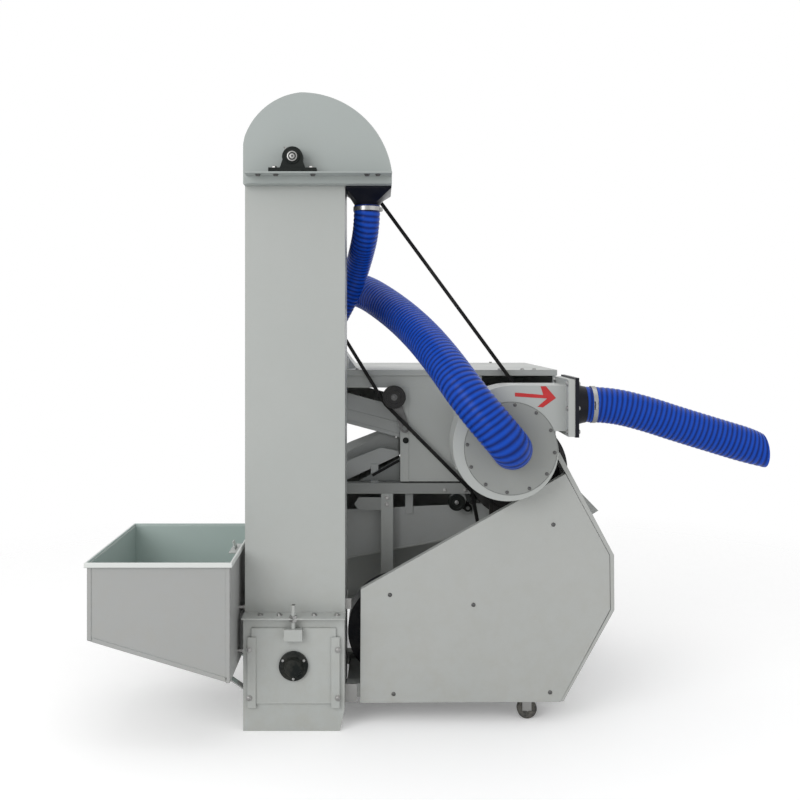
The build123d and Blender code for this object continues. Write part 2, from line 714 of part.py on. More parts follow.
# Main shaft with its eccentric, pulley and connecting rod
with BuildPart() as main_shaft_part:
    bar(*main_shaft, (groove_y[0] - 14, far + 14), shaft_r)
    bar(main_shaft[0] + eccentric, main_shaft[1], rod_y, 28)

with BuildPart() as main_pulley:
    pulley(*main_shaft, groove_y, big_pitch, shaft_r + run_fit)
    lighten(*main_shaft, (groove_y[0] - 12, groove_y[1] + 12), big_pitch, 6)

with BuildPart() as connecting_rod:
    ex, ez = main_shaft[0] + eccentric, main_shaft[1]
    rod_mid = (rod_y[0] + 2, rod_y[1] - 2)
    small_eye = pin_r + 2 + 2 * eccentric + 1
    with BuildSketch(front(rod_mid[1])):
        with Locations((ex, ez)):
            Circle(38)
        with Locations(rod_pin):
            Circle(small_eye + 6)
        with BuildLine():
            Polyline((ex - 20, ez - 26), (ex - 4, ez + 34), (rod_pin[0] + 4, rod_pin[1] + 16),
                     (rod_pin[0] - 4, rod_pin[1] - 16), close=True)
        make_face()
        with Locations((ex, ez)):
            Circle(28 + run_fit, mode=Mode.SUBTRACT)
        with Locations(rod_pin):
            Circle(small_eye, mode=Mode.SUBTRACT)
    extrude(amount=rod_mid[1] - rod_mid[0])

# Shaft bearings fixed to the frame
with BuildPart() as shaft_bearings:
    pillow_block(0, head_shaft_z, -head_d - 32, head_shaft_z - leg_top - shelf_height)
    pillow_block(*main_shaft, near + 22, main_shaft[1] - top_rail_z[1])
    pillow_block(*main_shaft, far - 22, main_shaft[1] - top_rail_z[1])
    pillow_block(*fan_axis, 68, fan_block_height)
    pillow_block(*fan_axis, 112, fan_block_height)
    pillow_block(*drive_axis, 90, 42)
    pillow_block(*drive_axis, 228, 42)
    flange_bearing(0, head_shaft_z, head_d, 1)
    flange_bearing(*blower_axis, blower_y[0] - 6, -0.9)
    flange_bearing(*blower_axis, blower_y[1], 0.9)

# Idler on its arm
arm_pivot = (338, 862)
with BuildPart() as idler_arm:
    arm_y = (groove_y[1] + 12, groove_y[1] + 19)
    with BuildSketch(front(arm_y[1])):
        with Locations(idler, arm_pivot):
            Circle(16)
        with BuildLine():
            Polyline((idler[0] - 15, idler[1] - 5), (idler[0] + 15, idler[1] + 5),
                     (arm_pivot[0] + 15, arm_pivot[1] + 5), (arm_pivot[0] - 15, arm_pivot[1] - 5), close=True)
        make_face()
        with Locations(arm_pivot):
            Circle(pin_r + 2 + run_fit, mode=Mode.SUBTRACT)
    extrude(amount=arm_y[1] - arm_y[0])
    bar(*idler, (groove_y[1] - 12, arm_y[0]), pin_r + 2)

with BuildPart() as idler_pulley:
    points = [(pin_r + 2 + run_fit, -11.5), (38, -11.5), (38, -9.2), (31, -9.2), (31, 9.2), (38, 9.2),
              (38, 11.5), (pin_r + 2 + run_fit, 11.5)]
    with BuildSketch(Plane((idler[0], groove_y[1], idler[1]))):
        with BuildLine():
            Polyline(*points, close=True)
        make_face()
    revolve(axis=Axis((idler[0], 0, idler[1]), (0, 1, 0)))

# V-belts
with BuildPart() as elevator_drive_belt:
    belt([(0, head_shaft_z, big_pitch), (*idler, idler_pitch), (*main_shaft, big_pitch)], groove_y[1])

with BuildPart() as drive_belts:
    belt([(*main_shaft, big_pitch), (*drive_axis, main_drive_pitch)], groove_y[0])
    belt([(*fan_axis, fan_pitch), (*drive_axis, drive_pitch)], fan_belt_y)
    belt([(*blower_axis, blower_pitch), (*drive_axis, drive_pitch)], blower_belt_y)

# Drive shaft, motor and their base
with BuildPart() as drive_shaft:
    bar(*drive_axis, (-2, 318), shaft_r)
    pulley(*drive_axis, (fan_belt_y, blower_belt_y), drive_pitch, shaft_r - 1)
    pulley(*drive_axis, (groove_y[0],), main_drive_pitch, shaft_r - 1)
    bar(*drive_axis, (256, 300), 38)
    bar(*drive_axis, (276, 280), 39, Mode.SUBTRACT, bore=24)

with BuildPart() as drive_base:
    block((540, base_right - rail - 1), (base_front_y + rail, 560), (base_z[1], base_z[1] + 6))
    for y in (90, 228):
        block((drive_axis[0] - 72, drive_axis[0] + 72), (y - 20, y + 20), (base_z[1] + 6, drive_axis[1] - 42))
        block((drive_axis[0] - 60, drive_axis[0] + 60), (y - 21, y + 21), (base_z[1] + 12, drive_axis[1] - 52),
              Mode.SUBTRACT)

motor_r = 88
with BuildPart() as motor_casing:
    bar(*drive_axis, (310, 505), motor_r - 8)
    with BuildSketch(front(480)):
        with Locations(drive_axis):
            with PolarLocations(motor_r - 5, 20):
                Rectangle(10, 3)
    extrude(amount=150)
    bar(*drive_axis, (306, 326), motor_r)
    bar(*drive_axis, (490, 545), motor_r - 2)
    block((drive_axis[0] - 80, drive_axis[0] + 80), (340, 480), (base_z[1] + 6, base_z[1] + 18))
    for side in (-1, 1):
        block(sorted((drive_axis[0] + side * 45, drive_axis[0] + side * 60)), (345, 475),
              (base_z[1] + 12, drive_axis[1] - 40))
    block((drive_axis[0] - 50, drive_axis[0] + 50), (350, 450), (drive_axis[1] + 60, drive_axis[1] + 118))
    bar(*drive_axis, (300, 322), shaft_r + run_fit, Mode.SUBTRACT)

# Deck blower
with BuildPart() as blower_casing:
    casing(blower_axis, blower_r, blower_grow, blower_end - blower_axis[0], blower_y, sheet)
    duct_z = (blower_axis[1] + duct_floor(blower_r, blower_grow), blower_axis[1] + blower_r + blower_grow)
    for skin, cut in ((0, Mode.ADD), (sheet, Mode.SUBTRACT)):
        with BuildSketch(Plane((blower_end - 0.5 * skin, sum(blower_y) / 2, sum(duct_z) / 2),
                               x_dir=(0, 1, 0), z_dir=(1, 0, 0))):
            Rectangle(blower_y[1] - blower_y[0] - 2 * skin, duct_z[1] - duct_z[0] - 2 * skin)
        with BuildSketch(Plane((520, 320, 462 + 0.5 * skin), x_dir=(0, 1, 0), z_dir=(0, 0, 1))):
            Rectangle(120 - 2 * skin, 90 - 2 * skin)
        loft(mode=cut)
    bar(*blower_axis, (blower_y[0] - 1, blower_y[0] + 3), blower_inlet_r, Mode.SUBTRACT)
    bar(*blower_axis, (blower_y[0] - 6, blower_y[0]), blower_inlet_r + 14, bore=blower_inlet_r)
    for z in (-22, 22):
        block((blower_axis[0] - 104, blower_axis[0] + 104), (blower_y[0] - 6, blower_y[0]),
              (blower_axis[1] + z - 10, blower_axis[1] + z + 10))
    bar(*blower_axis, (blower_y[0] - 6, blower_y[0]), 46)
    bar(*blower_axis, (blower_y[0] - 7, blower_y[0] + 1), shaft_r + 6, Mode.SUBTRACT)
    bar(*blower_axis, (blower_y[1] - 3, blower_y[1] + 1), shaft_r + 6, Mode.SUBTRACT)
    block((blower_axis[0] - 60, blower_axis[0] - 20), (blower_y[1], near), (base_z[1] - 30, base_z[1]))

with BuildPart() as blower_rotor:
    bar(*blower_axis, (24, blower_y[1] + 17), shaft_r)
    pulley(*blower_axis, (blower_belt_y,), blower_pitch, shaft_r - 1)
    bar(*blower_axis, (128, 132), 112)
    bar(*blower_axis, (100, 160), 26)
    with BuildSketch(front(176)):
        with Locations(blower_axis):
            with PolarLocations(84, 12):
                Rectangle(50, 3, rotation=35)
    extrude(amount=84)

# Deck, its screen, its rockers and the brackets they stand on
slope = tan(radians(deck_tilt))


def deck_under(x):
    return deck_ref[1] - slope * (x - deck_ref[0])


def deck_band(x, low, high):
    """Corners of a strip of the deck's side between x[0] and x[1], from low to high above its foot."""
    return [(x[0], deck_under(x[0]) + low), (x[1], deck_under(x[1]) + low),
            (x[1], deck_under(x[1]) + high), (x[0], deck_under(x[0]) + high)]


deck_skin = 3
screen_z = 52
rocker_top_z = rocker_foot_z + rocker_length
rocker_y = (near + 31, near + 39)
with BuildPart() as deck_tray:
    profile(deck_band(deck_x, 0, deck_height), deck_y)
    inner_x = (deck_x[0] + deck_skin, deck_x[1] - deck_skin)
    inner_y = (deck_y[0] + deck_skin, deck_y[1] - deck_skin)
    profile(deck_band(inner_x, screen_z, deck_height + 1), inner_y, Mode.SUBTRACT)
    profile(deck_band(inner_x, -1, screen_z), inner_y, Mode.SUBTRACT)
    profile(deck_band((deck_x[0] - 1, deck_x[0] + 5), screen_z + 8, deck_height + 1), inner_y, Mode.SUBTRACT)
    profile(deck_band((deck_x[1] - 5, deck_x[1] + 1), screen_z + 8, deck_height + 1), inner_y, Mode.SUBTRACT)
    for x in rocker_x:
        for wall, out in ((deck_y[0], -1), (deck_y[1], 1)):
            ear_y = sorted((wall, wall + out * 5.5))
            block((x - 14, x + 14), ear_y, (rocker_top_z - 12, deck_under(x) + 20))
            bar(x, rocker_top_z, sorted((wall + out * 5.5, wall + out * 15)), pin_r)
    for y in (rod_y[0] - 8, rod_y[1] + 2):
        block((deck_x[1], rod_pin[0] + 12), (y, y + 6), (rod_pin[1] - 12, rod_pin[1] + 14))
    bar(*rod_pin, (rod_y[0] - 2, rod_y[1] + 2), pin_r + 2)

with BuildPart() as deck_screen:
    profile(deck_band(inner_x, screen_z - 6, screen_z), inner_y)
    for number in range(11):
        start = inner_x[0] + 20 + number * 52
        profile(deck_band((start, start + 3), screen_z, screen_z + 14), inner_y)

rockers = {}
for name, x in (("deck_rockers_left", rocker_x[0]), ("deck_rockers_right", rocker_x[1])):
    with BuildPart() as pair:
        for depth in (rocker_y, (near + far - rocker_y[1], near + far - rocker_y[0])):
            with BuildSketch(front(depth[1])):
                with Locations((x, (rocker_foot_z + rocker_top_z) / 2)):
                    SlotCenterToCenter(rocker_length, 26, rotation=90)
                with Locations((x, rocker_foot_z), (x, rocker_top_z)):
                    Circle(pin_r + run_fit, mode=Mode.SUBTRACT)
            extrude(amount=depth[1] - depth[0])
    rockers[name] = pair

hub_y = (near + rail_wall, near + rail - 4)
arm_gap = (near + rail + 1, near + rail + 9)
with BuildPart() as suspension_brackets:
    for x in rocker_x:
        for flip in (False, True):
            stand = (rocker_y[0] - 9, rocker_y[0] - 1)
            pin = (stand[1], rocker_y[1] + 1)
            if flip:
                stand = (near + far - stand[1], near + far - stand[0])
                pin = (near + far - pin[1], near + far - pin[0])
            block((x - 16, x + 16), stand, (top_rail_z[1], rocker_foot_z + 14))
            bar(x, rocker_foot_z, pin, pin_r)
    for x, z in arm_hub:
        for flip in (False, True):
            body, pin = hub_y, (hub_y[1], arm_gap[1] + 1)
            if flip:
                body = (near + far - body[1], near + far - body[0])
                pin = (near + far - pin[1], near + far - pin[0])
            bar(x, z, body, 27)
            block((x - 20, x + 20), body, (z, top_rail_z[1] - rail_wall))
            bar(x, z, pin, pin_r + 2)
    bar(*arm_pivot, (groove_y[1] + 11, near - sheet), pin_r + 2)
    bar(*arm_pivot, (groove_y[1] + 19.5, near - sheet), 13)

# Hung box under the deck and the arms that carry it


def box_top(x):
    return 580.5 + 0.044 * (x - 138)


def box_under(x):
    return 412 + 0.193 * (x - 138)


with BuildPart() as lower_box:
    corners = [(box_x[0], box_under(box_x[0])), (box_x[1], box_under(box_x[1])),
               (box_x[1], box_top(box_x[1])), (box_x[0], box_top(box_x[0]))]
    profile(corners, box_y)
    offset(amount=-sheet, openings=lower_box.faces().filter_by(Axis.Y, reverse=True).sort_by(Axis.Z)[-1])
    for x, z in arm_hub:
        for wall, out in ((box_y[0], -1), (box_y[1], 1)):
            px, pz = x + arm_reach[0], z + arm_reach[1]
            block((px - 14, px + 14), sorted((wall, wall + out * 5)), (min(pz, box_top(px) - 20) - 12, pz + 12))
            bar(px, pz, sorted((wall + out * 5, wall + out * 17)), pin_r)
    block((341, 367), (box_y[0] - 5, box_y[0]), (box_top(354) - 24, 640))

for name, spot in (("box_arms_left", arm_hub[0]), ("box_arms_right", arm_hub[1])):
    with BuildPart() as pair:
        tip = (spot[0] + arm_reach[0], spot[1] + arm_reach[1])
        for depth in (arm_gap, (near + far - arm_gap[1], near + far - arm_gap[0])):
            with BuildSketch(front(depth[1])):
                with Locations(spot):
                    Circle(20)
                with Locations(tip):
                    Circle(13)
                with BuildLine():
                    Polyline((spot[0] - 11, spot[1] - 13), (spot[0] + 13, spot[1] + 13),
                             (tip[0] + 9, tip[1] + 9), (tip[0] - 9, tip[1] - 9), close=True)
                make_face()
                with Locations(spot):
                    Circle(pin_r + 2 + run_fit, mode=Mode.SUBTRACT)
                with Locations(tip):
                    Circle(pin_r + run_fit, mode=Mode.SUBTRACT)
            extrude(amount=depth[1] - depth[0])
    rockers[name] = pair

# Discharge chutes
chute_y = (near + rail + 11, far - rail - 11)
spout_y = (330, 780)
with BuildPart() as left_chute:
    floor_line = [(319, 763.5), (149, 683.6), (-75, 578)]
    lower_wall = [(319, 778), (259, 790), (142, 744), (-75, 638)]
    profile(floor_line + lower_wall[::-1], chute_y)
    inner_floor = [(320, 767), (149, 686.6), (-76, 580.6)]
    profile(inner_floor + [(-76, 700), (259, 850), (320, 850)], (chute_y[0] + sheet, chute_y[1] - sheet),
            Mode.SUBTRACT)
    profile([(140, 681), (140, 766), (256, 831), (319, 815), (319, 765), (149, 685)],
            (chute_y[0] + 44, chute_y[0] + 46))
    for wall, seat in ((chute_y[0], near + 10), (chute_y[1], far - 10)):
        inset = 4 if wall > seat else -4
        block((225, 250), sorted((wall - inset, wall)), (top_rail_z[1], 735))
        block((225, 250), sorted((seat, wall)), (top_rail_z[1], top_rail_z[1] + 4))

with BuildPart() as right_spout:
    lip = [(1009, 563), (right + 4, 736), (right, 712), (650, 712)]
    profile([(650, 702), (right, 688), (982, 546)] + lip, spout_y)
    profile([(649, 705), (right + 1, 691), (986, 548), (1020, 575), (right + 4, 760), (649, 760)],
            (spout_y[0] + sheet, spout_y[1] - sheet), Mode.SUBTRACT)
    for wall, out in ((spout_y[0], -1), (spout_y[1], 1)):
        block((right, right + sheet), sorted((wall - out, wall + 20 * out)), (690, 724))

# Casters and feet
caster_spots = ((690, -33), (760, far - 30))
wheel_r = 30
casters = {}
for name, spot in (("front", caster_spots[0]), ("rear", caster_spots[1])):
    x, y = spot
    with BuildPart() as fork:
        with BuildSketch(Plane((x, y, 70))):
            Circle(19)
        extrude(amount=3)
        for side in (-1, 1):
            block((x - 2, x + 26), sorted((y + side * 15, y + side * 18)), (28, 72))
        block((x - 17, x + 26), (y - 18, y + 18), (68, 71))
        bar(x + 14, wheel_r, (y - 18, y + 18), 4)
    casters[f"{name}_caster_fork"] = fork
    with BuildPart() as wheel:
        bar(x + 14, wheel_r, (y - 12, y + 12), wheel_r, bore=4 + run_fit)
        fillet(wheel.edges().filter_by(GeomType.CIRCLE).sort_by(SortBy.RADIUS)[-2:], 5)
        bar(x + 14, wheel_r, (y - 14, y + 14), 9, bore=4 + run_fit)
    casters[f"{name}_caster_wheel"] = wheel

with BuildPart() as feet:
    for (x, y), edge in zip(caster_spots, (base_front_y, far)):
        inner = 2 * y - edge
        block((x - 26, x + 26), sorted((edge, inner)), (73 + air, base_z[0]))
    with BuildSketch(Plane((left + 20, far - 20, 0))):
        Circle(26)
    extrude(amount=10)
    with BuildSketch(Plane((left + 20, far - 20, 10))):
        Circle(8)
    extrude(amount=base_z[1] - rail_wall - 10)
    bracket = [(half_w, base_front_y - 4), (half_w + 36, base_front_y - 4), (half_w + 36, base_front_y),
               (half_w + 4, base_front_y), (half_w + 4, -30), (half_w, -30)]
    with BuildSketch(Plane.XY.offset(64)):
        with BuildLine():
            Polyline(*bracket, close=True)
        make_face()
    extrude(amount=54)
    block((half_w, half_w + 18), (-60, -57), (boot_height, boot_height + 32))

# Hose clamps
with BuildPart() as hose_clamps:
    for spot, z in (((neck_x, 0), neck_z - 19), (feed_port, feed_port_z + 8)):
        with BuildSketch(Plane((*spot, z))):
            Circle(feed_hose_r + 1.6)
            Circle(feed_hose_r + air, mode=Mode.SUBTRACT)
        extrude(amount=13)
    with BuildSketch(Plane((*port, port_z + 6))):
        Circle(suction_hose_r + 1.6)
        Circle(suction_hose_r + air, mode=Mode.SUBTRACT)
    extrude(amount=12)
    bar(*fan_axis, (fan_y[0] - 20, fan_y[0] - 9), suction_hose_r + 1.6, bore=suction_hose_r + air)
    with BuildSketch(Plane((888, duct_y, outlet_z), x_dir=(0, 1, 0), z_dir=(1, 0, 0))):
        Circle(outlet_hose_r + 1.6)
        Circle(outlet_hose_r + air, mode=Mode.SUBTRACT)
    extrude(amount=13)

pieces = {
    "boot_casing": boot_casing, "takeup_plates": takeup_plates,
    "boot_bearings": boot_bearings, "boot_drum": boot_drum, "leg_casing": leg_casing,
    "head_casing": head_casing, "head_drum": head_drum, "head_pulley": head_pulley,
    "bucket_belt": bucket_belt, "elevator_buckets": buckets, "discharge_funnel": discharge_funnel,
    "feed_hose": feed_hose, "hopper": hopper, "slide_gate": slide_gate, "base_rails": base_rails,
    "frame_posts": frame_posts, "top_rails": top_rails, "front_cover": front_cover,
    "guard_end_panel": guard_end_panel, "side_plate": side_plate, "housing_back": housing_back,
    "hood": hood, "hood_ports": hood_ports, "suction_hose": suction_hose, "outlet_hose": outlet_hose,
    "fan_scroll": fan_scroll, "fan_cover": fan_cover, "outlet_transition": outlet_transition,
    "fan_impeller": fan_impeller, "fan_shaft": fan_shaft, "fan_stand": fan_stand,
    "main_shaft": main_shaft_part, "main_pulley": main_pulley, "connecting_rod": connecting_rod,
    "shaft_bearings": shaft_bearings, "idler_arm": idler_arm, "idler_pulley": idler_pulley,
    "elevator_drive_belt": elevator_drive_belt, "drive_belts": drive_belts, "drive_shaft": drive_shaft,
    "drive_base": drive_base, "motor_casing": motor_casing, "blower_casing": blower_casing,
    "blower_rotor": blower_rotor, "deck_tray": deck_tray, "deck_screen": deck_screen,
    "suspension_brackets": suspension_brackets, "lower_box": lower_box, "left_chute": left_chute,
    "right_spout": right_spout, "mounting_feet": feet, "hose_clamps": hose_clamps, **rockers, **casters,
}
for name, piece in pieces.items():
    piece.part.label = name
    export_step(piece.part, f"parts/{name}.step")
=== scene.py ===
import json
import math

import bmesh
import bpy
import numpy as np
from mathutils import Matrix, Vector


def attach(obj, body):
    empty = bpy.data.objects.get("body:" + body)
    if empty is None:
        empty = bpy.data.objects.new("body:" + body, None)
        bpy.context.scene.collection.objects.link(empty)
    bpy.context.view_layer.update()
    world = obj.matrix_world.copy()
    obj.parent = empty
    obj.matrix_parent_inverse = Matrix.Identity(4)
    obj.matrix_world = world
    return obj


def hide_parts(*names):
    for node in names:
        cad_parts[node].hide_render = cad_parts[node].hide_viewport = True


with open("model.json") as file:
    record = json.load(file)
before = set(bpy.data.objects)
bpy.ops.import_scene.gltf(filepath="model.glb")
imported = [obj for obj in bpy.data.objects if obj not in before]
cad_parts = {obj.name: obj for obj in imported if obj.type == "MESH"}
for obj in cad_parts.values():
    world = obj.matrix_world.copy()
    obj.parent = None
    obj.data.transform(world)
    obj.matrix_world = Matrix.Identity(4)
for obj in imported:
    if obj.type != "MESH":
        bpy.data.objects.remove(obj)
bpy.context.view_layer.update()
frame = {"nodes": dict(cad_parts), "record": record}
nodes = frame["nodes"]
print("frame loaded:", len(nodes), "nodes")

mm = 0.001  # places below are in the CAD's millimetres, Blender's are in metres


# Shader helpers

def feed(tree, socket, value):
    # a socket is linked, anything else becomes the input's own value
    if isinstance(value, bpy.types.NodeSocket):
        tree.links.new(value, socket)
    else:
        socket.default_value = value


def addNode(tree, kind, inputs=None, **props):
    # one node with its settings, and with its inputs linked or set by name
    made = tree.nodes.new(kind)
    for key, value in props.items():
        setattr(made, key, value)
    for key, value in (inputs or {}).items():
        feed(tree, made.inputs[key], value)
    return made


def mixColour(tree, factor, first, second):
    # first at factor 0, second at factor 1, a straight blend between
    made = addNode(tree, "ShaderNodeMix", data_type="RGBA", blend_type="MIX")
    feed(tree, made.inputs[0], factor)
    feed(tree, made.inputs[6], first)
    feed(tree, made.inputs[7], second)
    return made.outputs[2]


def remap(tree, value, low, high, toLow=0.0, toHigh=1.0):
    # low becomes toLow, high becomes toHigh, straight between them and held beyond
    made = addNode(tree, "ShaderNodeMapRange", {
        "Value": value, "From Min": low, "From Max": high, "To Min": toLow, "To Max": toHigh})
    return made.outputs[0]


def maths(tree, operation, first, second):
    # two numbers through one Math node
    made = addNode(tree, "ShaderNodeMath", operation=operation)
    feed(tree, made.inputs[0], first)
    feed(tree, made.inputs[1], second)
    return made.outputs[0]


def vectorMaths(tree, operation, first, second):
    # two vectors through one Vector Math node
    made = addNode(tree, "ShaderNodeVectorMath", operation=operation)
    feed(tree, made.inputs[0], first)
    feed(tree, made.inputs[1], second)
    return made


def objectPlace(tree):
    # the place on the machine, in metres
    return addNode(tree, "ShaderNodeTexCoord").outputs["Object"]


def noise(tree, vector, scale, detail, roughness=0.5):
    # fractal noise round 0.5
    made = addNode(tree, "ShaderNodeTexNoise", {
        "Vector": vector, "Scale": scale, "Detail": detail, "Roughness": roughness})
    return made.outputs[0]


def newGroup(name, takes, gives):
    # a shader group with named inputs, each with its kind and value, and named outputs
    tree = bpy.data.node_groups.new(name, "ShaderNodeTree")
    kinds = {"colour": "NodeSocketColor", "number": "NodeSocketFloat",
             "vector": "NodeSocketVector"}
    for label, (kind, value) in takes.items():
        socket = tree.interface.new_socket(name=label, in_out="INPUT", socket_type=kinds[kind])
        socket.default_value = value
    for label, kind in gives.items():
        tree.interface.new_socket(name=label, in_out="OUTPUT", socket_type=kinds[kind])
    return tree, tree.nodes.new("NodeGroupInput"), tree.nodes.new("NodeGroupOutput")


def useGroup(tree, group, values):
    # the group placed in a material with its own values
    return addNode(tree, "ShaderNodeGroup", values, node_tree=group)


# Uneven colour: noise between two levels gives soft patches of a second shade
patches = {"detail": 5.0, "roughness": 0.6, "levels": (0.35, 0.7)}
patchGroup, takes, gives = newGroup(
    "patchyColour",
    {"Base": ("colour", (0.5, 0.5, 0.5, 1)), "Shade": ("colour", (0.4, 0.4, 0.4, 1)),
     "Scale": ("number", 3.0), "Strength": ("number", 0.5)},
    {"Colour": "colour", "Mask": "number"})
cloud = noise(patchGroup, objectPlace(patchGroup), takes.outputs["Scale"], patches["detail"],
              patches["roughness"])
mask = remap(patchGroup, cloud, *patches["levels"])
share = maths(patchGroup, "MULTIPLY", mask, takes.outputs["Strength"])
feed(patchGroup, gives.inputs["Colour"],
     mixColour(patchGroup, share, takes.outputs["Base"], takes.outputs["Shade"]))
feed(patchGroup, gives.inputs["Mask"], mask)

# Dust: fine specks that lie thickest near the floor and fade with height
specks = {"scale": 22.0, "detail": 8.0, "roughness": 0.7, "levels": (0.42, 0.75), "aloft": 0.15}
dustGroup, takes, gives = newGroup(
    "floorDust", {"Height": ("number", 0.6), "Amount": ("number", 0.5)}, {"Mask": "number"})
place = objectPlace(dustGroup)
axes = addNode(dustGroup, "ShaderNodeSeparateXYZ", {"Vector": place})
fade = remap(dustGroup, axes.outputs["Z"], 0.0, takes.outputs["Height"], 1.0, specks["aloft"])
speck = noise(dustGroup, place, specks["scale"], specks["detail"], specks["roughness"])
both = maths(dustGroup, "MULTIPLY", fade, remap(dustGroup, speck, *specks["levels"]))
feed(dustGroup, gives.inputs["Mask"],
     maths(dustGroup, "MULTIPLY", both, takes.outputs["Amount"]))

# Edge wear: where a rounded normal departs from the face's own, broken up by noise
chips = {"scale": 60.0, "detail": 6.0, "levels": (0.45, 0.62), "alike": (0.97, 0.8), "rays": 4}
edgeGroup, takes, gives = newGroup(
    "edgeWear", {"Radius": ("number", 0.0015), "Amount": ("number", 0.6)},
    {"Mask": "number", "Normal": "vector"})
rounded = addNode(edgeGroup, "ShaderNodeBevel", {"Radius": takes.outputs["Radius"]},
                  samples=chips["rays"]).outputs[0]
plain = addNode(edgeGroup, "ShaderNodeNewGeometry").outputs["Normal"]
alike = vectorMaths(edgeGroup, "DOT_PRODUCT", rounded, plain).outputs["Value"]
broken = noise(edgeGroup, objectPlace(edgeGroup), chips["scale"], chips["detail"])
worn = maths(edgeGroup, "MULTIPLY", remap(edgeGroup, alike, *chips["alike"]),
             remap(edgeGroup, broken, *chips["levels"]))
feed(edgeGroup, gives.inputs["Mask"],
     maths(edgeGroup, "MULTIPLY", worn, takes.outputs["Amount"]))
feed(edgeGroup, gives.inputs["Normal"], rounded)

# Fine grain: noise stretched by a different amount along each axis, as a height
grainGroup, takes, gives = newGroup(
    "fineGrain", {"Stretch": ("vector", (300.0, 300.0, 300.0)), "Detail": ("number", 3.0)},
    {"Height": "number"})
stretched = vectorMaths(grainGroup, "MULTIPLY", objectPlace(grainGroup),
                        takes.outputs["Stretch"]).outputs[0]
feed(grainGroup, gives.inputs["Height"],
     noise(grainGroup, stretched, 1.0, takes.outputs["Detail"]))


# Masks for the hopper's painted light on its rim and inside: how far each one takes to turn from
# 0 to 1, in metres
maskFade = {"height": 0.002, "facing": 0.02, "edge": 0.006}


def heightMask(tree, height):
    # 0 below a height, 1 just above it
    axes = addNode(tree, "ShaderNodeSeparateXYZ", {"Vector": objectPlace(tree)})
    return remap(tree, axes.outputs["Z"], height, height + maskFade["height"])


def insideMask(tree, centre, edge):
    # 1 where a face looks towards a point inside the bin, which ends at X = edge, otherwise 0
    place = objectPlace(tree)
    away = vectorMaths(tree, "SUBTRACT", place, centre).outputs[0]
    normal = addNode(tree, "ShaderNodeNewGeometry").outputs["Normal"]
    facing = vectorMaths(tree, "DOT_PRODUCT", normal, away).outputs["Value"]
    axes = addNode(tree, "ShaderNodeSeparateXYZ", {"Vector": place})
    return maths(tree, "MULTIPLY", remap(tree, facing, 0.0, -maskFade["facing"]),
                 remap(tree, axes.outputs["X"], edge, edge - maskFade["edge"]))


def look(colour, shade, **changes):
    # a finish's values: the usual ones for enamel, with the changes laid over them
    values = {"colour": (*colour, 1), "shade": (*shade, 1), "patch": 3.0, "uneven": 0.5,
              "dust": 0.35, "dustHeight": 0.7, "dustColour": (0.33, 0.31, 0.26, 1),
              "edge": 0.0014, "wear": 0.35, "bareColour": (0.62, 0.62, 0.6, 1),
              "rough": (0.34, 0.5), "bump": 0.12, "bumpDepth": 0.0004,
              "grain": (260.0, 260.0, 260.0), "grainDetail": 3.0,
              "metal": 0.0, "coat": 0.0, "coatRough": 0.25, "spec": 0.35}
    values.update(changes)
    return values


def finish(name, values):
    # base colour, then dust, the hose's ribs with painted highlight on their crests, painted
    # light on the hopper's rim and inside, and bare edges over it
    made = bpy.data.materials.new(name)
    made.use_nodes = True
    tree = made.node_tree
    shader = tree.nodes["Principled BSDF"]
    patchy = useGroup(tree, patchGroup, {"Base": values["colour"], "Shade": values["shade"],
                                         "Scale": values["patch"], "Strength": values["uneven"]})
    dust = useGroup(tree, dustGroup, {"Height": values["dustHeight"], "Amount": values["dust"]})
    wear = useGroup(tree, edgeGroup, {"Radius": values["edge"], "Amount": values["wear"]})
    grain = useGroup(tree, grainGroup, {"Stretch": values["grain"],
                                        "Detail": values["grainDetail"]})
    paint = mixColour(tree, dust.outputs["Mask"], patchy.outputs["Colour"], values["dustColour"])
    # painted light on the hose: the rib attribute blends a lighter colour onto the crests as
    # painted highlight
    if "ribColour" in values:
        rib = addNode(tree, "ShaderNodeAttribute", attribute_name="rib")
        paint = mixColour(tree, rib.outputs["Fac"], paint, values["ribColour"])
    # painted light: the hopper above its rim height and on its inside faces takes a lighter
    # colour
    if "brightAbove" in values:
        paint = mixColour(tree, heightMask(tree, values["brightAbove"]), paint,
                          values["brightColour"])
    if "insideOf" in values:
        paint = mixColour(tree, insideMask(tree, values["insideOf"], values["insideEdge"]), paint,
                          values["insideColour"])
    feed(tree, shader.inputs["Base Color"],
         mixColour(tree, wear.outputs["Mask"], paint, values["bareColour"]))
    feed(tree, shader.inputs["Roughness"],
         remap(tree, patchy.outputs["Mask"], 0.0, 1.0, *values["rough"]))
    shader.inputs["Metallic"].default_value = values["metal"]
    shader.inputs["Coat Weight"].default_value = values["coat"]
    shader.inputs["Coat Roughness"].default_value = values["coatRough"]
    shader.inputs["Specular IOR Level"].default_value = values["spec"]
    bump = addNode(tree, "ShaderNodeBump", {
        "Strength": values["bump"], "Distance": values["bumpDepth"],
        "Height": grain.outputs["Height"], "Normal": wear.outputs["Normal"]})
    feed(tree, shader.inputs["Normal"], bump.outputs[0])
    return made


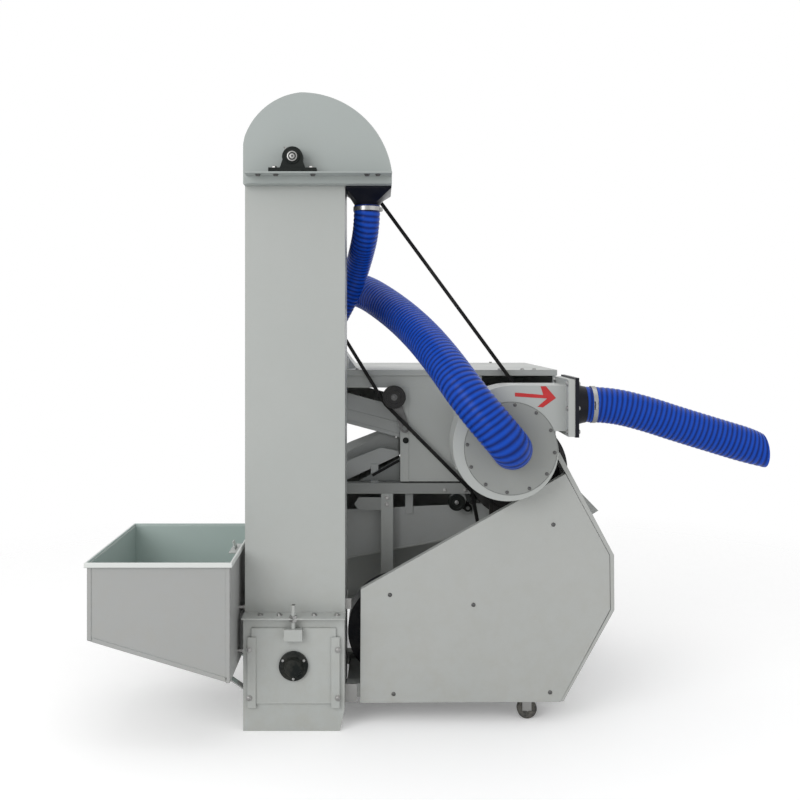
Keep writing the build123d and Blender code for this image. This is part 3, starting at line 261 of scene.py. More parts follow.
finishes = {
    "enamel": look((0.40, 0.415, 0.40), (0.365, 0.385, 0.37), coat=0.12),
    "cover_enamel": look((0.40, 0.41, 0.395), (0.37, 0.385, 0.37), coat=0.12, edge=0.003),
    # hopper: the lighter colour above the rim height is painted light on the rim's top, and the
    # lighter, greener inside is painted light falling into the bin
    "hopper_enamel": look((0.335, 0.34, 0.335), (0.315, 0.325, 0.315), coat=0.12, edge=0.003,
                          brightAbove=0.5175, brightColour=(0.62, 0.64, 0.62, 1),
                          insideOf=(-0.37, 0.0, 0.5), insideEdge=-0.166,
                          insideColour=(0.42, 0.5, 0.475, 1)),
    # head: a darker copy of the enamel, painted shade for how the light falls on the head
    "head_enamel": look((0.345, 0.375, 0.365), (0.33, 0.36, 0.35), coat=0.12),
    # deck enamel: lighter than the enamel of the same paint, painted light for the deck, chutes
    # and inner parts
    "deck_enamel": look((0.42, 0.435, 0.43), (0.36, 0.375, 0.37), patch=5.0, dust=0.5),
    # rails: a darker copy of the enamel, painted shade between the leg and the cover and inside
    # the frame
    "rail_enamel": look((0.27, 0.28, 0.272), (0.23, 0.24, 0.234), patch=4.0),
    # a dark copy of the enamel, painted shade for parts in the frame's shadow
    "shade_enamel": look((0.2, 0.212, 0.208), (0.16, 0.17, 0.166), patch=4.0, dust=0.4),
    # fan cover: a darker copy of the enamel, painted shade for the hose's shadow on it
    "fan_enamel": look((0.26, 0.27, 0.257), (0.235, 0.245, 0.235), coat=0.12),
    "black_enamel": look((0.004, 0.005, 0.01), (0.008, 0.009, 0.015), rough=(0.3, 0.45),
                         spec=0.15, dust=0.15, bareColour=(0.08, 0.08, 0.09, 1)),
    "bearing_iron": look((0.004, 0.006, 0.0055), (0.008, 0.012, 0.011), rough=(0.35, 0.55),
                         bump=0.6, spec=0.15, grain=(420.0, 420.0, 420.0), wear=0.6, dust=0.2,
                         bareColour=(0.09, 0.1, 0.095, 1)),
    "pulley_iron": look((0.015, 0.015, 0.016), (0.026, 0.025, 0.024), rough=(0.4, 0.6),
                        bump=0.5, metal=0.2, spec=0.3, wear=0.7,
                        bareColour=(0.2, 0.2, 0.19, 1)),
    "steel": look((0.36, 0.36, 0.355), (0.24, 0.235, 0.225), metal=1.0, rough=(0.26, 0.45),
                  bump=0.3, dust=0.15, grain=(80.0, 900.0, 900.0), wear=0.2),
    "dark_steel": look((0.12, 0.12, 0.12), (0.06, 0.06, 0.06), metal=0.8, rough=(0.3, 0.5),
                       bump=0.3, dust=0.2, patch=40.0, wear=0.5, edge=0.0008,
                       bareColour=(0.35, 0.35, 0.34, 1)),
    # blue hose: the darker base colour is painted shade in the grooves, and the lighter rib
    # colour is painted highlight on the crests
    "blue_hose": look((0.002, 0.018, 0.15), (0.002, 0.014, 0.12), patch=9.0,
                      rough=(0.3, 0.38), dust=0.0, ribColour=(0.0055, 0.064, 0.45, 1),
                      bump=0.08, wear=0.0, edge=0.0004, spec=0.14),
    "belt_rubber": look((0.006, 0.006, 0.0065), (0.014, 0.014, 0.014), rough=(0.6, 0.8),
                        bump=0.4, wear=0.25, spec=0.2, grain=(900.0, 900.0, 900.0),
                        bareColour=(0.05, 0.05, 0.05, 1)),
    "bucket_plastic": look((0.55, 0.54, 0.47), (0.45, 0.43, 0.36), rough=(0.4, 0.6), wear=0.0),
    "motor_enamel": look((0.03, 0.05, 0.1), (0.05, 0.07, 0.12), rough=(0.35, 0.5), bump=0.4,
                         coat=0.2),
    "wheel_rubber": look((0.02, 0.02, 0.021), (0.06, 0.06, 0.058), rough=(0.6, 0.75),
                         dust=0.8, bump=0.4),
    "arrow_red": look((0.5, 0.022, 0.024), (0.36, 0.02, 0.02), wear=0.3, rough=(0.45, 0.6),
                      patch=30.0),
}
materials = {name: finish(name, values) for name, values in finishes.items()}

# Nodes given a finish other than their slot's: a different paint for some, and for others darker
# copies of the enamel as painted shade and a lighter one as painted light
ownFinish = {
    "hopper": "hopper_enamel",
    "head_casing": "head_enamel",
    "fan_cover": "fan_enamel",
    "front_cover": "cover_enamel",
    "guard_end_panel": "cover_enamel",
    "left_chute": "deck_enamel",
    "top_rails": "rail_enamel",
    "base_rails": "rail_enamel",
    "suspension_brackets": "shade_enamel",
    "drive_base": "shade_enamel",
    "connecting_rod": "shade_enamel",
    "idler_arm": "dark_steel",
    "main_shaft": "dark_steel",
    "head_drum": "dark_steel",
    "boot_drum": "dark_steel",
}
for entry in frame["record"]["subparts"]:
    mesh = nodes[entry["node"]].data
    mesh.materials.clear()
    mesh.materials.append(materials[ownFinish.get(entry["node"], entry["material_slot"])])
print("finishes placed:", len(materials))


# Mesh helpers, all in millimetres of the machine's own frame
toFront, toBack, upward = (0, -1, 0), (0, 1, 0), (0, 0, 1)
mergeWithin = 1e-6  # metres
hexagon = 6  # sides


def gridFaces(rows, cols, closeRows=False):
    # quads between neighbouring rows of a grid of points, whose columns run round and close
    i, j = np.meshgrid(np.arange(rows if closeRows else rows - 1), np.arange(cols),
                       indexing="ij")
    up, side = (i + 1) % rows, (j + 1) % cols
    corners = [i * cols + j, i * cols + side, up * cols + side, up * cols + j]
    return np.stack(corners, axis=-1).reshape(-1, 4)


def signedVolume(points, faces):
    # sum of the tetrahedra between the origin and each half of a quad
    a, b, c, d = (points[faces[:, k]] for k in range(4))
    halves = np.cross(b, c) + np.cross(c, d)
    return np.einsum("ij,ij->i", a, halves).sum() / 6


def addPiece(name, mesh, body, slotName, material=None, replaced=()):
    # the mesh as an object at the origin, on its body and with its finish
    mesh.materials.append(materials[material or slotName])
    piece = bpy.data.objects.new(name, mesh)
    bpy.context.scene.collection.objects.link(piece)
    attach(piece, body)
    if replaced:
        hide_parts(*replaced)


def makePiece(name, points, faces, body, slotName, material=None, smooth=35, replaced=(),
              ribs=None):
    # a closed skin of quads, turned outwards where its volume is negative, smooth but for
    # edges sharper than an angle in degrees
    if signedVolume(points, faces) < 0:
        faces = faces[:, ::-1]
    mesh = bpy.data.meshes.new(name)
    mesh.from_pydata((points * mm).tolist(), [], faces.tolist())
    if ribs is not None:
        rib = mesh.attributes.new("rib", "FLOAT", "POINT")
        rib.data.foreach_set("value", ribs.astype(np.float32))
    shape = bmesh.new()
    shape.from_mesh(mesh)
    bmesh.ops.remove_doubles(shape, verts=shape.verts, dist=mergeWithin)
    shape.to_mesh(mesh)
    shape.free()
    mesh.shade_smooth()
    mesh.set_sharp_from_angle(angle=math.radians(smooth))
    addPiece(name, mesh, body, slotName, material, replaced)


def platePiece(name, outline, start, thick, body, slotName, material, alongX=False):
    # an outline in X and Z carried back along Y from start; with alongX it is in Y and Z and
    # is carried along X
    outline = np.array(outline, float)
    count = len(outline)
    near = np.stack([outline[:, 0], np.full(count, start), outline[:, 1]], axis=1)
    points = np.concatenate([near, near + [0, thick, 0]])
    if alongX:
        points = points[:, [1, 0, 2]]
    here = np.arange(count)
    following = (here + 1) % count
    rim = np.stack([here, following, following + count, here + count], axis=1)
    faces = rim.tolist() + [list(range(count))[::-1], list(range(count, 2 * count))]
    mesh = bpy.data.meshes.new(name)
    mesh.from_pydata((points * mm).tolist(), [], faces)
    shape = bmesh.new()
    shape.from_mesh(mesh)
    bmesh.ops.recalc_face_normals(shape, faces=shape.faces)
    shape.to_mesh(mesh)
    shape.free()
    addPiece(name, mesh, body, slotName, material)


def strip(first, last, width):
    # outline of a straight band beside the line from first to last
    first, last = np.array(first, float), np.array(last, float)
    along = (last - first) / np.linalg.norm(last - first)
    across = np.array([-along[1], along[0]]) * width
    return [first, last, last + across, first + across]


def basis(axis):
    # the axis at unit length and two unit vectors square to it
    axis = np.array(axis, float) / np.linalg.norm(axis)
    upright = abs(axis[2]) >= 0.9
    side = np.cross([1.0, 0, 0] if upright else [0, 0, 1.0], axis)
    side /= np.linalg.norm(side)
    return axis, side, np.cross(axis, side)


def turned(profile, spots, axis, sides, twist=0.0):
    # (radius, height) pairs turned about the axis at each spot:
    # spot + radius * (cosine of angle * u + sine of angle * v) + height * axis
    profile = np.array(profile, float)
    spots = np.array(spots, float)
    axis, u, v = basis(axis)
    around = np.linspace(0, 2 * np.pi, sides, endpoint=False) + twist
    ring = np.cos(around)[:, None] * u + np.sin(around)[:, None] * v
    one = profile[:, 0, None, None] * ring[None] + profile[:, 1, None, None] * axis
    points = (spots[:, None, None] + one[None]).reshape(-1, 3)
    faces = gridFaces(len(profile), sides)
    shift = (np.arange(len(spots)) * len(profile) * sides)[:, None, None]
    return points, (faces[None] + shift).reshape(-1, 4)


def closedRing(profile, spots, axis, sides):
    # a turned profile whose last point joins its first, away from the axis
    return turned([*profile, profile[0]], spots, axis, sides)


def joined(*parts):
    # several (points, faces) pairs as one
    shifts = np.cumsum([0] + [len(points) for points, _ in parts[:-1]])
    return (np.concatenate([points for points, _ in parts]),
            np.concatenate([faces + shift for (_, faces), shift in zip(parts, shifts)]))


def capped(rows, first, last):
    # rows of a tube, with each end drawn in to a point
    ends = [np.broadcast_to(point, (1, rows.shape[1], 3)) for point in (first, last)]
    return np.concatenate([ends[0], rows, ends[1]])


def smoothPath(points, step, samples=240):
    # quadratic curves through the middles of the runs, each pulled to the corner between them,
    # read off at equal steps along their length
    points = np.array(points, float)
    mids = (points[1:] + points[:-1]) / 2
    mids[0], mids[-1] = points[0], points[-1]
    t = np.linspace(0, 1, samples)[None, :, None]
    first, pull, last = mids[:-1, None], points[1:-1, None], mids[1:, None]
    line = ((1 - t) ** 2 * first + 2 * t * (1 - t) * pull + t ** 2 * last).reshape(-1, 3)
    along = np.concatenate([[0], np.cumsum(np.linalg.norm(np.diff(line, axis=0), axis=1))])
    want = np.linspace(0, along[-1], int(round(along[-1] / step)) + 1)
    return np.stack([np.interp(want, along, line[:, k]) for k in range(3)], axis=1), want


def ringsAlong(path, radii, sides, reference):
    # circles square to the path: path + radius * (cosine * side + sine * other), with a radius
    # for each row or for each row and column
    tangent = np.gradient(path, axis=0)
    tangent /= np.linalg.norm(tangent, axis=1)[:, None]
    side = np.cross(np.array(reference, float), tangent)
    side /= np.linalg.norm(side, axis=1)[:, None]
    other = np.cross(tangent, side)
    around = np.linspace(0, 2 * np.pi, sides, endpoint=False)[None, :, None]
    circle = np.cos(around) * side[:, None] + np.sin(around) * other[:, None]
    return path[:, None] + np.broadcast_to(radii, (len(path), sides))[..., None] * circle


def helix(along, pitch, sides):
    # raised cosine of distance / pitch plus the angle round: 1 on the ridge, 0 between its turns
    around = np.linspace(0, 2 * np.pi, sides, endpoint=False)
    return 0.5 + 0.5 * np.cos(2 * np.pi * along[:, None] / pitch + around[None])


def circleSpots(centre, radius, degrees):
    # points of a circle that faces the front: centre + radius * (cosine, 0, sine)
    turn = np.radians(degrees)
    return np.array(centre) + radius * np.stack([np.cos(turn), 0 * turn, np.sin(turn)], axis=1)


boltForm = {"head": 0.9, "height": 0.62, "top": 0.8, "washer": 1.2,  # shares of the size
            "washerThick": 1.2, "sunk": 0.6, "chamfer": 0.8, "twist": 0.3, "washerSides": 16}
domeForm = {"rise": 0.5, "low": -0.5, "rim": 0.2, "rows": 5, "sides": 14}


def hexBolts(name, spots, axis, size, body="machine", washer=True, material=None):
    # a hexagon head with a chamfered top on a washer, both closed on the axis
    form = boltForm
    thick, low = form["washerThick"], form["sunk"]
    head, top = size * form["head"], size * form["height"] + thick
    wide = size * form["washer"]
    profile = [(0, low), (head, low), (head, top - form["chamfer"]),
               (head * form["top"], top), (0, top)]
    parts = [turned(profile, spots, axis, hexagon, twist=form["twist"])]
    if washer:
        disc = [(0, 0), (wide, 0), (wide, thick), (0, thick)]
        parts.append(turned(disc, spots, axis, form["washerSides"]))
    makePiece(name, *joined(*parts), body, "steel", material)


def domeScrews(name, spots, axis, radius, material="steel"):
    # a low dome: a quarter of an ellipse turned about the axis
    form = domeForm
    t = np.linspace(0, np.pi / 2, form["rows"])
    dome = np.stack([radius * np.cos(t), radius * form["rise"] * np.sin(t) + form["rim"]], axis=1)
    dome[-1, 0] = 0
    profile = [(0, form["low"]), (radius, form["low"]), *dome]
    makePiece(name, *turned(profile, spots, axis, form["sides"]), "machine", "steel", material)


# Hoses: a helical rib stands on a thin wall, and a plain bore closes the wall from inside
hoses = {
    "suctionHose": {
        "node": "suction_hose", "radius": 59, "pitch": 15.6, "reference": (1, 0, 0), "sides": 44,
        "route": [(30, 470, 1205), (30, 470, 1350), (184, 400, 1334), (289, 240, 1263),
                  (374, 60, 1184), (445, -120, 1092), (514, -235, 985), (639, -255, 838),
                  (639, -158, 838)]},
    "outletHose": {
        "node": "outlet_hose", "radius": 54, "pitch": 14.6, "reference": (0, 1, 0), "sides": 44,
        "route": [(870, -80, 962), (945, -80, 962), (1060, -80, 933), (1160, -80, 899),
                  (1410, -80, 824)],
        "slant": 19, "draw": 3, "slantLength": 90},
    "feedHose": {
        "node": "feed_hose", "radius": 41, "pitch": 14.0, "reference": (1, 0, 0), "sides": 36,
        "route": [(215, 0, 1570), (215, 0, 1500), (190, 128, 1412), (156, 182, 1314),
                  (82, 262, 1185), (88, 262, 1100)]},
}
hoseWall = {"ribDepth": 1.6, "bore": 1.95, "skin": 0.2, "roundness": 0.45, "shineFrom": 0.3,
            "rowsPerPitch": 9, "boreStep": 6, "smooth": 60}


def hoseSkins(hose):
    # outer radius: the hose's, less the rib's depth times one less the crest, which is the
    # helix to a power below 1, so that the rib is broad and the groove narrow
    path, along = smoothPath(hose["route"], hose["pitch"] / hoseWall["rowsPerPitch"])
    crest = helix(along, hose["pitch"], hose["sides"]) ** hoseWall["roundness"]
    ribbed = hose["radius"] - hoseWall["skin"] - hoseWall["ribDepth"] * (1 - crest)
    outer = ringsAlong(path, ribbed, hose["sides"], hose["reference"])
    inner = ringsAlong(path, hose["radius"] - hoseWall["bore"], hose["sides"],
                       hose["reference"])
    if "slant" in hose:
        # the cut end leans: over the last stretch, points above the middle draw back and
        # points below it reach on, by the slant times their share of the radius
        ahead = along - along[-1] + hose["slantLength"]
        late = np.clip(ahead / hose["slantLength"], 0, 1)[:, None] ** 2
        for rings in (outer, inner):
            above = (rings[..., 2] - path[:, None, 2]) / hose["radius"]
            rings[..., 0] -= late * (hose["slant"] * above + hose["draw"])
    # the crest share, stored as the rib attribute, places the painted highlight on the crests and
    # leaves painted shade in the grooves and the bore
    shine = np.clip((crest - hoseWall["shineFrom"]) / (1 - hoseWall["shineFrom"]), 0, 1)
    return outer, inner, shine


for name, hose in hoses.items():
    outer, inner, shine = hoseSkins(hose)
    last = len(outer) - 1
    bore = np.unique(np.append(np.arange(0, last + 1, hoseWall["boreStep"]), last))[::-1]
    skin = np.concatenate([outer, inner[bore]])
    ribs = np.concatenate([shine, np.zeros((len(bore), hose["sides"]))])
    makePiece(name, skin.reshape(-1, 3), gridFaces(len(skin), hose["sides"], closeRows=True),
              "machine", "blue_hose", smooth=hoseWall["smooth"], replaced=(hose["node"],),
              ribs=ribs.reshape(-1))
print("hoses made")

# Worm screws of the hose clamps: a stepped barrel on each band, square to its hose
clampScrews = {
    "barrel": [(0, -11), (5.2, -11), (5.2, 9), (6.2, 9), (6.2, 13), (4.8, 14), (0, 14)],
    "sides": 16,
    "feedTop": ((258.2, 0, 1559.5), (0, 1, 0)),
    "feedLow": ((88, 218.8, 1114.5), (1, 0, 0)),
    "suctionHood": ((30, 408.8, 1217), (1, 0, 0)),
    "suctionFan": ((639, -164.5, 899.2), (1, 0, 0)),
    "outlet": ((894.5, -136.2, 962), (0, 0, 1)),
}
barrels = [turned(clampScrews["barrel"], [clampScrews[label][0]], clampScrews[label][1],
                  clampScrews["sides"])
           for label in ("feedTop", "feedLow", "suctionHood", "suctionFan", "outlet")]
makePiece("clampScrews", *joined(*barrels), "machine", "steel")

# Bolts, nuts and screws, one row for each set: spots, axis, thread size, body and finish
postX = (-100, 279, 778)
boltSets = {
    "shelfNuts": {"spots": [(x, -164, 1641) for x in (-102, -50, 59, 249, 217)],
                  "axis": (0, 0, -1), "size": 7.5, "material": "dark_steel"},
    "headBlockBolts": {"spots": [(x, -162, 1658) for x in (-54, 54)], "axis": upward, "size": 9},
    "ledgeBolts": {"spots": [(x, -120, 340) for x in (-100, -43, 60, 128)] +
                            [(-100, 120, 340), (0, 118, 340), (100, 120, 340)],
                   "axis": upward, "size": 7.5},
    "guideBolts": {"spots": [(-131, -139.3, 243), (131, -139.3, 243), (131, -139.3, 101),
                             (-131, -139.3, 101)], "axis": toFront, "size": 7.5},
    "fanCoverBolts": {"spots": circleSpots((639, -153, 838), 128.6, 84.8 - 30 * np.arange(12)),
                      "axis": toFront, "size": 4.4, "material": "dark_steel"},
    "railBolts": {"spots": [(x, 205, 655) for x in (471, 539)], "axis": toFront, "size": 5.5},
    "plateBolt": {"spots": [(341, 203, 820)], "axis": toFront, "size": 8.5,
                  "material": "bearing_iron"},
    "fanFlangeNuts": {"spots": [(801, y, z) for y in (-175, 15) for z in (890, 958, 1030)],
                      "axis": (-1, 0, 0), "size": 6.5},
    "fanFlangeBolts": {"spots": [(832, y, z) for y in (-175, 15) for z in (890, 958, 1030)],
                       "axis": (1, 0, 0), "size": 6.5},
    "hoodBolts": {"spots": [(x, 218, 1054) for x in (-90, 180, 430, 653, 729, 769)] +
                           [(x, 852, 1054) for x in (-90, 180, 430, 700)],
                  "axis": upward, "size": 6},
    "mainBlockBolts": {"spots": [(x, y, 691) for x in (649, 757) for y in (227, 848)],
                       "axis": upward, "size": 9},
    "fanBlockBolts": {"spots": [(x, y, 809) for x in (586, 692) for y in (68, 112)],
                      "axis": upward, "size": 9},
    "driveBlockBolts": {"spots": [(x, y, 201) for x in (628, 734) for y in (90, 228)],
                        "axis": upward, "size": 9},
    "postBolts": {"spots": [(x, 205, z) for x in postX for z in (630, 608)] +
                           [(x, 205, z) for x in postX[:2] for z in (132, 155)],
                  "axis": toFront, "size": 6.5},
    "rearPostBolts": {"spots": [(x, 871.8, z) for x in postX for z in (630, 608, 132, 155)],
                      "axis": toBack, "size": 6.5},
    "spoutBolts": {"spots": [(840, y, z) for y in (320, 790) for z in (700, 716)],
                   "axis": (1, 0, 0), "size": 5},
    "capScrews": {"spots": circleSpots((0, -144.4, 196), 36, (30, 150, 270)), "axis": toFront,
                  "size": 5, "body": "boot_takeup", "washer": False},
}
domeSets = {
    "guardScrews": {"spots": [(285, -75, 387), (537, -75, 357), (778, -75, 599),
                              (296, -75, 88), (768, -75, 93)],
                    "axis": toFront, "radius": 6.5, "material": "dark_steel"},
    "rearPanelScrews": {"spots": [(x, 872, z) for x in (388, 620) for z in (805, 935)] +
                                 [(500, 872, 798)], "axis": toBack, "radius": 5},
}
for name, row in boltSets.items():
    hexBolts(name, **row)
for name, row in domeSets.items():
    domeScrews(name, **row)
print("bolts made")

# Dress of the head's pillow block: grease nipple, bearing ring and the shaft's stepped face
headBearing = {
    "centre": (0, -160, 1690), "nippleAxis": (-0.62, 0, 0.78), "nippleReach": 29.5,
    "nipple": [(0, 0), (4.2, 0), (4.2, 4), (2.6, 5), (2.6, 9), (3.2, 10), (2.2, 12), (0, 12.6)],
    "ring": [(15.2, 0), (20.2, 0), (20.2, 2.5), (19.2, 3.2), (16.2, 3.2), (15.2, 2.5)],
    "ringSpot": (0, -181, 1690), "faceSpot": (0, -188, 1690),
    "face": {"Rim": (14.8, 0.3, "steel"), "Groove": (11.4, 0.5, "bearing_iron"),
             "Boss": (7.8, 0.7, "steel"), "Centre": (2.8, 0.9, "black_enamel")},
    "faceLow": -0.5, "chamfer": (0.3, 0.1),
    "nippleSides": 10, "ringSides": 32, "faceSides": 28,
}
nippleAxis = np.array(headBearing["nippleAxis"])
nippleSpot = headBearing["centre"] + headBearing["nippleReach"] * nippleAxis
makePiece("greaseNipple", *turned(headBearing["nipple"], [nippleSpot], nippleAxis,
                                  headBearing["nippleSides"]), "machine", "steel")
makePiece("bearingRings", *closedRing(headBearing["ring"], [headBearing["ringSpot"]], toFront,
                                      headBearing["ringSides"]), "machine", "bearing_iron")
low, (inset, drop) = headBearing["faceLow"], headBearing["chamfer"]
for label, (radius, tall, finishName) in headBearing["face"].items():
    disc = [(0, low), (radius, low), (radius, tall - drop), (radius - inset, tall), (0, tall)]
    makePiece("shaftFace" + label, *turned(disc, [headBearing["faceSpot"]], toFront,
                                           headBearing["faceSides"]),
              "head_rotor", "steel", finishName)

# Idler face: two raised rings, and the nut on its axle
idlerFace = {"spot": (302, 170.6, 965), "rings": ((36.5, 32.5), (24, 21)), "low": -0.4,
             "high": 1.6, "bevel": 0.6, "sides": 40, "nutSpot": (302, 170, 965), "nutSize": 9}
low, high, bevel = idlerFace["low"], idlerFace["high"], idlerFace["bevel"]
rings = [closedRing([(inner, low), (outer, low), (outer - bevel, high), (inner + bevel, high)],
                    [idlerFace["spot"]], toFront, idlerFace["sides"])
         for outer, inner in idlerFace["rings"]]
makePiece("idlerRings", *joined(*rings), "belt_idler", "pulley_iron")
hexBolts("idlerNut", [idlerFace["nutSpot"]], toFront, idlerFace["nutSize"], body="belt_arm",
         material="dark_steel")

# Seal round the fan's cover plate, a dark gasket that is also painted shade along the cover's
# edge, and the rubber cone between the outlet plate and its hose
fanSeal = {"spot": (639, -150, 838), "sides": 96,
           "profile": [(135.8, -0.2), (137.6, -0.2), (137.6, 1.2), (135.8, 1.2)]}
makePiece("fanCoverSeal", *closedRing(fanSeal["profile"], [fanSeal["spot"]], toFront,
                                      fanSeal["sides"]), "machine", "enamel", "shade_enamel")
cone = {"spot": (840, -80, 962), "sides": 48,
        "profile": [(52.2, 0), (61.5, 0), (60, 8), (55.6, 24), (54.6, 31), (52.2, 31)]}
makePiece("outletCone", *closedRing(cone["profile"], [cone["spot"]], (1, 0, 0), cone["sides"]),
          "machine", "black_enamel")

# Tension screws of the boot: a thread on each rod, and nuts drawn over the welded ones
tension = {"depth": 147, "radius": 6, "pitch": 2.2, "low": 301, "high": 378, "sides": 16,
           "rowsPerPitch": 4, "root": 0.75, "ridge": 0.7,
           "nut": [(6.6, 0), (12, 0), (12, 6.6), (11, 7.4), (6.6, 7.4)],
           "nutHeights": (329.2, 339.6), "nutSmooth": 20}
nuts = [closedRing(tension["nut"], [(0, side * tension["depth"], height)], upward, hexagon)
        for side in (-1, 1) for height in tension["nutHeights"]]
makePiece("tensionNuts", *joined(*nuts), "machine", "steel", smooth=tension["nutSmooth"])
turns = (tension["high"] - tension["low"]) / tension["pitch"]
height = np.linspace(tension["low"], tension["high"], int(turns * tension["rowsPerPitch"]))
path = np.stack([0 * height, 0 * height - tension["depth"], height], axis=1)
radii = tension["radius"] - tension["root"] + tension["ridge"] * helix(
    height, tension["pitch"], tension["sides"])
skin = capped(ringsAlong(path, radii, tension["sides"], (1, 0, 0)), path[0], path[-1])
for label, flip in (("Front", 1), ("Rear", -1)):
    thread = skin * [1, flip, 1]
    makePiece("tensionThread" + label, thread.reshape(-1, 3),
              gridFaces(len(skin), tension["sides"]), "boot_takeup", "steel")

# Tie bolts between hopper, leg and boot: a rod with a nut at each end
tie = {"x": -150, "spots": ((-80, 352), (80, 352), (-110, 232), (110, 232)), "sides": 12,
       "profile": [(0, -2), (8, -2), (8, 5), (5, 5.5), (5, 33), (8, 33.5), (8, 39), (4.8, 39.5),
                   (4.8, 46), (0, 46)]}
ties = [turned(tie["profile"], [(tie["x"], y, z)], (-1, 0, 0), tie["sides"])
        for y, z in tie["spots"]]
makePiece("hopperTies", *joined(*ties), "machine", "steel")
print("bearing, idler and screw dress made")

# Flow arrow painted on the fan's duct
arrow = {"y": -150.4, "thick": 0.6,
         "outline": [(651, 1002.5), (734, 995.5), (726, 1021), (742, 1021), (771.5, 986.4),
                     (733, 958.5), (717, 960.5), (745, 984.8), (651, 990.7)]}
platePiece("flowArrow", arrow["outline"], arrow["y"], arrow["thick"], "machine", "enamel",
           "arrow_red")

# Folded flanges round the hopper's front and back, just outside its sheet
hopper = {"left": -570, "right": -168, "top": 518, "low": 192, "high": 312, "face": 263,
          "fold": 12, "thick": 1.2, "gap": 0.1, "inset": 3.6}
left, right, fold = hopper["left"], hopper["right"], hopper["fold"]
low, high, top, inset = hopper["low"], hopper["high"], hopper["top"], hopper["inset"]
flanges = {
    "Left": [(left, high), (left + fold, high), (left + fold, top), (left, top)],
    "Right": [(right - fold, low), (right, low), (right, top), (right - fold, top)],
    "Low": strip((left + fold, high - inset), (right - fold, low + inset), fold),
}
outside = hopper["face"] + hopper["gap"]
for label, start in (("Front", -outside - hopper["thick"]), ("Back", outside)):
    for edge, outline in flanges.items():
        platePiece("hopperFlange" + edge + label, outline, start, hopper["thick"], "machine",
                   "enamel", "hopper_enamel")

# Tab at the top of the slide gate: a plate that leans back and narrows as it rises
tab = {"x": -187, "y": (-26, 14), "z": 509, "thick": 2, "rise": 26, "lean": 10, "taper": 4,
       "levels": (0, 0.55, 1), "smooth": 20}
up = np.array(tab["levels"])[:, None]
near, far = tab["y"]
depth = tab["x"] - tab["lean"] * up - [0, 0, tab["thick"], tab["thick"]]
across = [near, far, far, near] + tab["taper"] * up * [1, -1, -1, 1]
rows = np.stack([depth, across, tab["z"] + tab["rise"] * up + 0 * across], axis=-1)
shell = capped(rows, rows[0].mean(0), rows[-1].mean(0))
makePiece("gateTab", shell.reshape(-1, 3), gridFaces(len(shell), 4), "gate", "enamel",
          "hopper_enamel", smooth=tab["smooth"])

# Panel that closes the back of the frame below the top rail, in the rails' darker enamel as
# painted shade inside the frame
backPanel = {"x": (-120, 798), "z": (100, 661), "y": 870.3, "thick": 1.6}
(left, right), (low, high) = backPanel["x"], backPanel["z"]
platePiece("lowerBackPanel", [(left, low), (right, low), (right, high), (left, high)],
           backPanel["y"], backPanel["thick"], "machine", "enamel", "rail_enamel")

# Catch pan under the left chute: two end plates and the bed between them, in darker enamel as
# painted shade, and a black strip along its front as painted shadow in the gap
catchPan = {"end": [(185, 678.3), (322, 678.3), (322, 755)], "ends": {"Front": 248, "Back": 824},
            "thick": 1.5, "seal": ((232, 693), (322, 743.5), 9), "sealStart": 246.6,
            "sealThick": 1.3, "bed": ((186, 679), (322, 755), -1.5), "bedStart": 249.5,
            "bedLength": 574.5}
for label, start in catchPan["ends"].items():
    platePiece("catchPan" + label, catchPan["end"], start, catchPan["thick"], "machine",
               "enamel", "shade_enamel")
platePiece("catchPanSeal", strip(*catchPan["seal"]), catchPan["sealStart"],
           catchPan["sealThick"], "machine", "belt_rubber", "belt_rubber")
platePiece("catchPanBed", strip(*catchPan["bed"]), catchPan["bedStart"], catchPan["bedLength"],
           "machine", "enamel", "shade_enamel")

# Plates over the open ends of the angle rails, each with one corner cut off, in the rails' darker
# enamel as painted shade
railEnds = {"top": {"starts": (-119.8, 834.8), "heights": (643.4, 673.7)},
            "low": {"starts": (-119.8, 794.8), "heights": (78.3, 113.7)},
            "depths": ((209.3, 244.5), (865.7, 830.5)), "thick": 3, "cut": 7}
cut = railEnds["cut"]
for level in ("top", "low"):
    low, high = railEnds[level]["heights"]
    for start, label in zip(railEnds[level]["starts"], ("Left", "Right")):
        for (legSide, openSide), where in zip(railEnds["depths"], ("Front", "Back")):
            towardsLeg = openSide + math.copysign(cut, legSide - openSide)
            outline = [(legSide, low), (legSide, high), (openSide, high),
                       (openSide, low + cut), (towardsLeg, low)]
            platePiece(level + "RailEnd" + label + where, outline, start, railEnds["thick"],
                       "machine", "enamel", "rail_enamel", alongX=True)

# Black cap on the arm boss below the top rail, with a bolt at its middle
hubCap = {"spot": (510, 209, 614), "boltSpot": (510, 203.6, 614), "boltSize": 6, "sides": 40,
          "profile": [(0, -0.3), (28, -0.3), (28, 4), (26.5, 5.5), (20, 5.5), (19, 3), (11, 3),
                      (10, 5.5), (0, 5.5)]}
makePiece("hubCap", *turned(hubCap["profile"], [hubCap["spot"]], toFront, hubCap["sides"]),
          "machine", "pulley_iron", "bearing_iron")
hexBolts("hubCapBolt", [hubCap["boltSpot"]], toFront, hubCap["boltSize"])

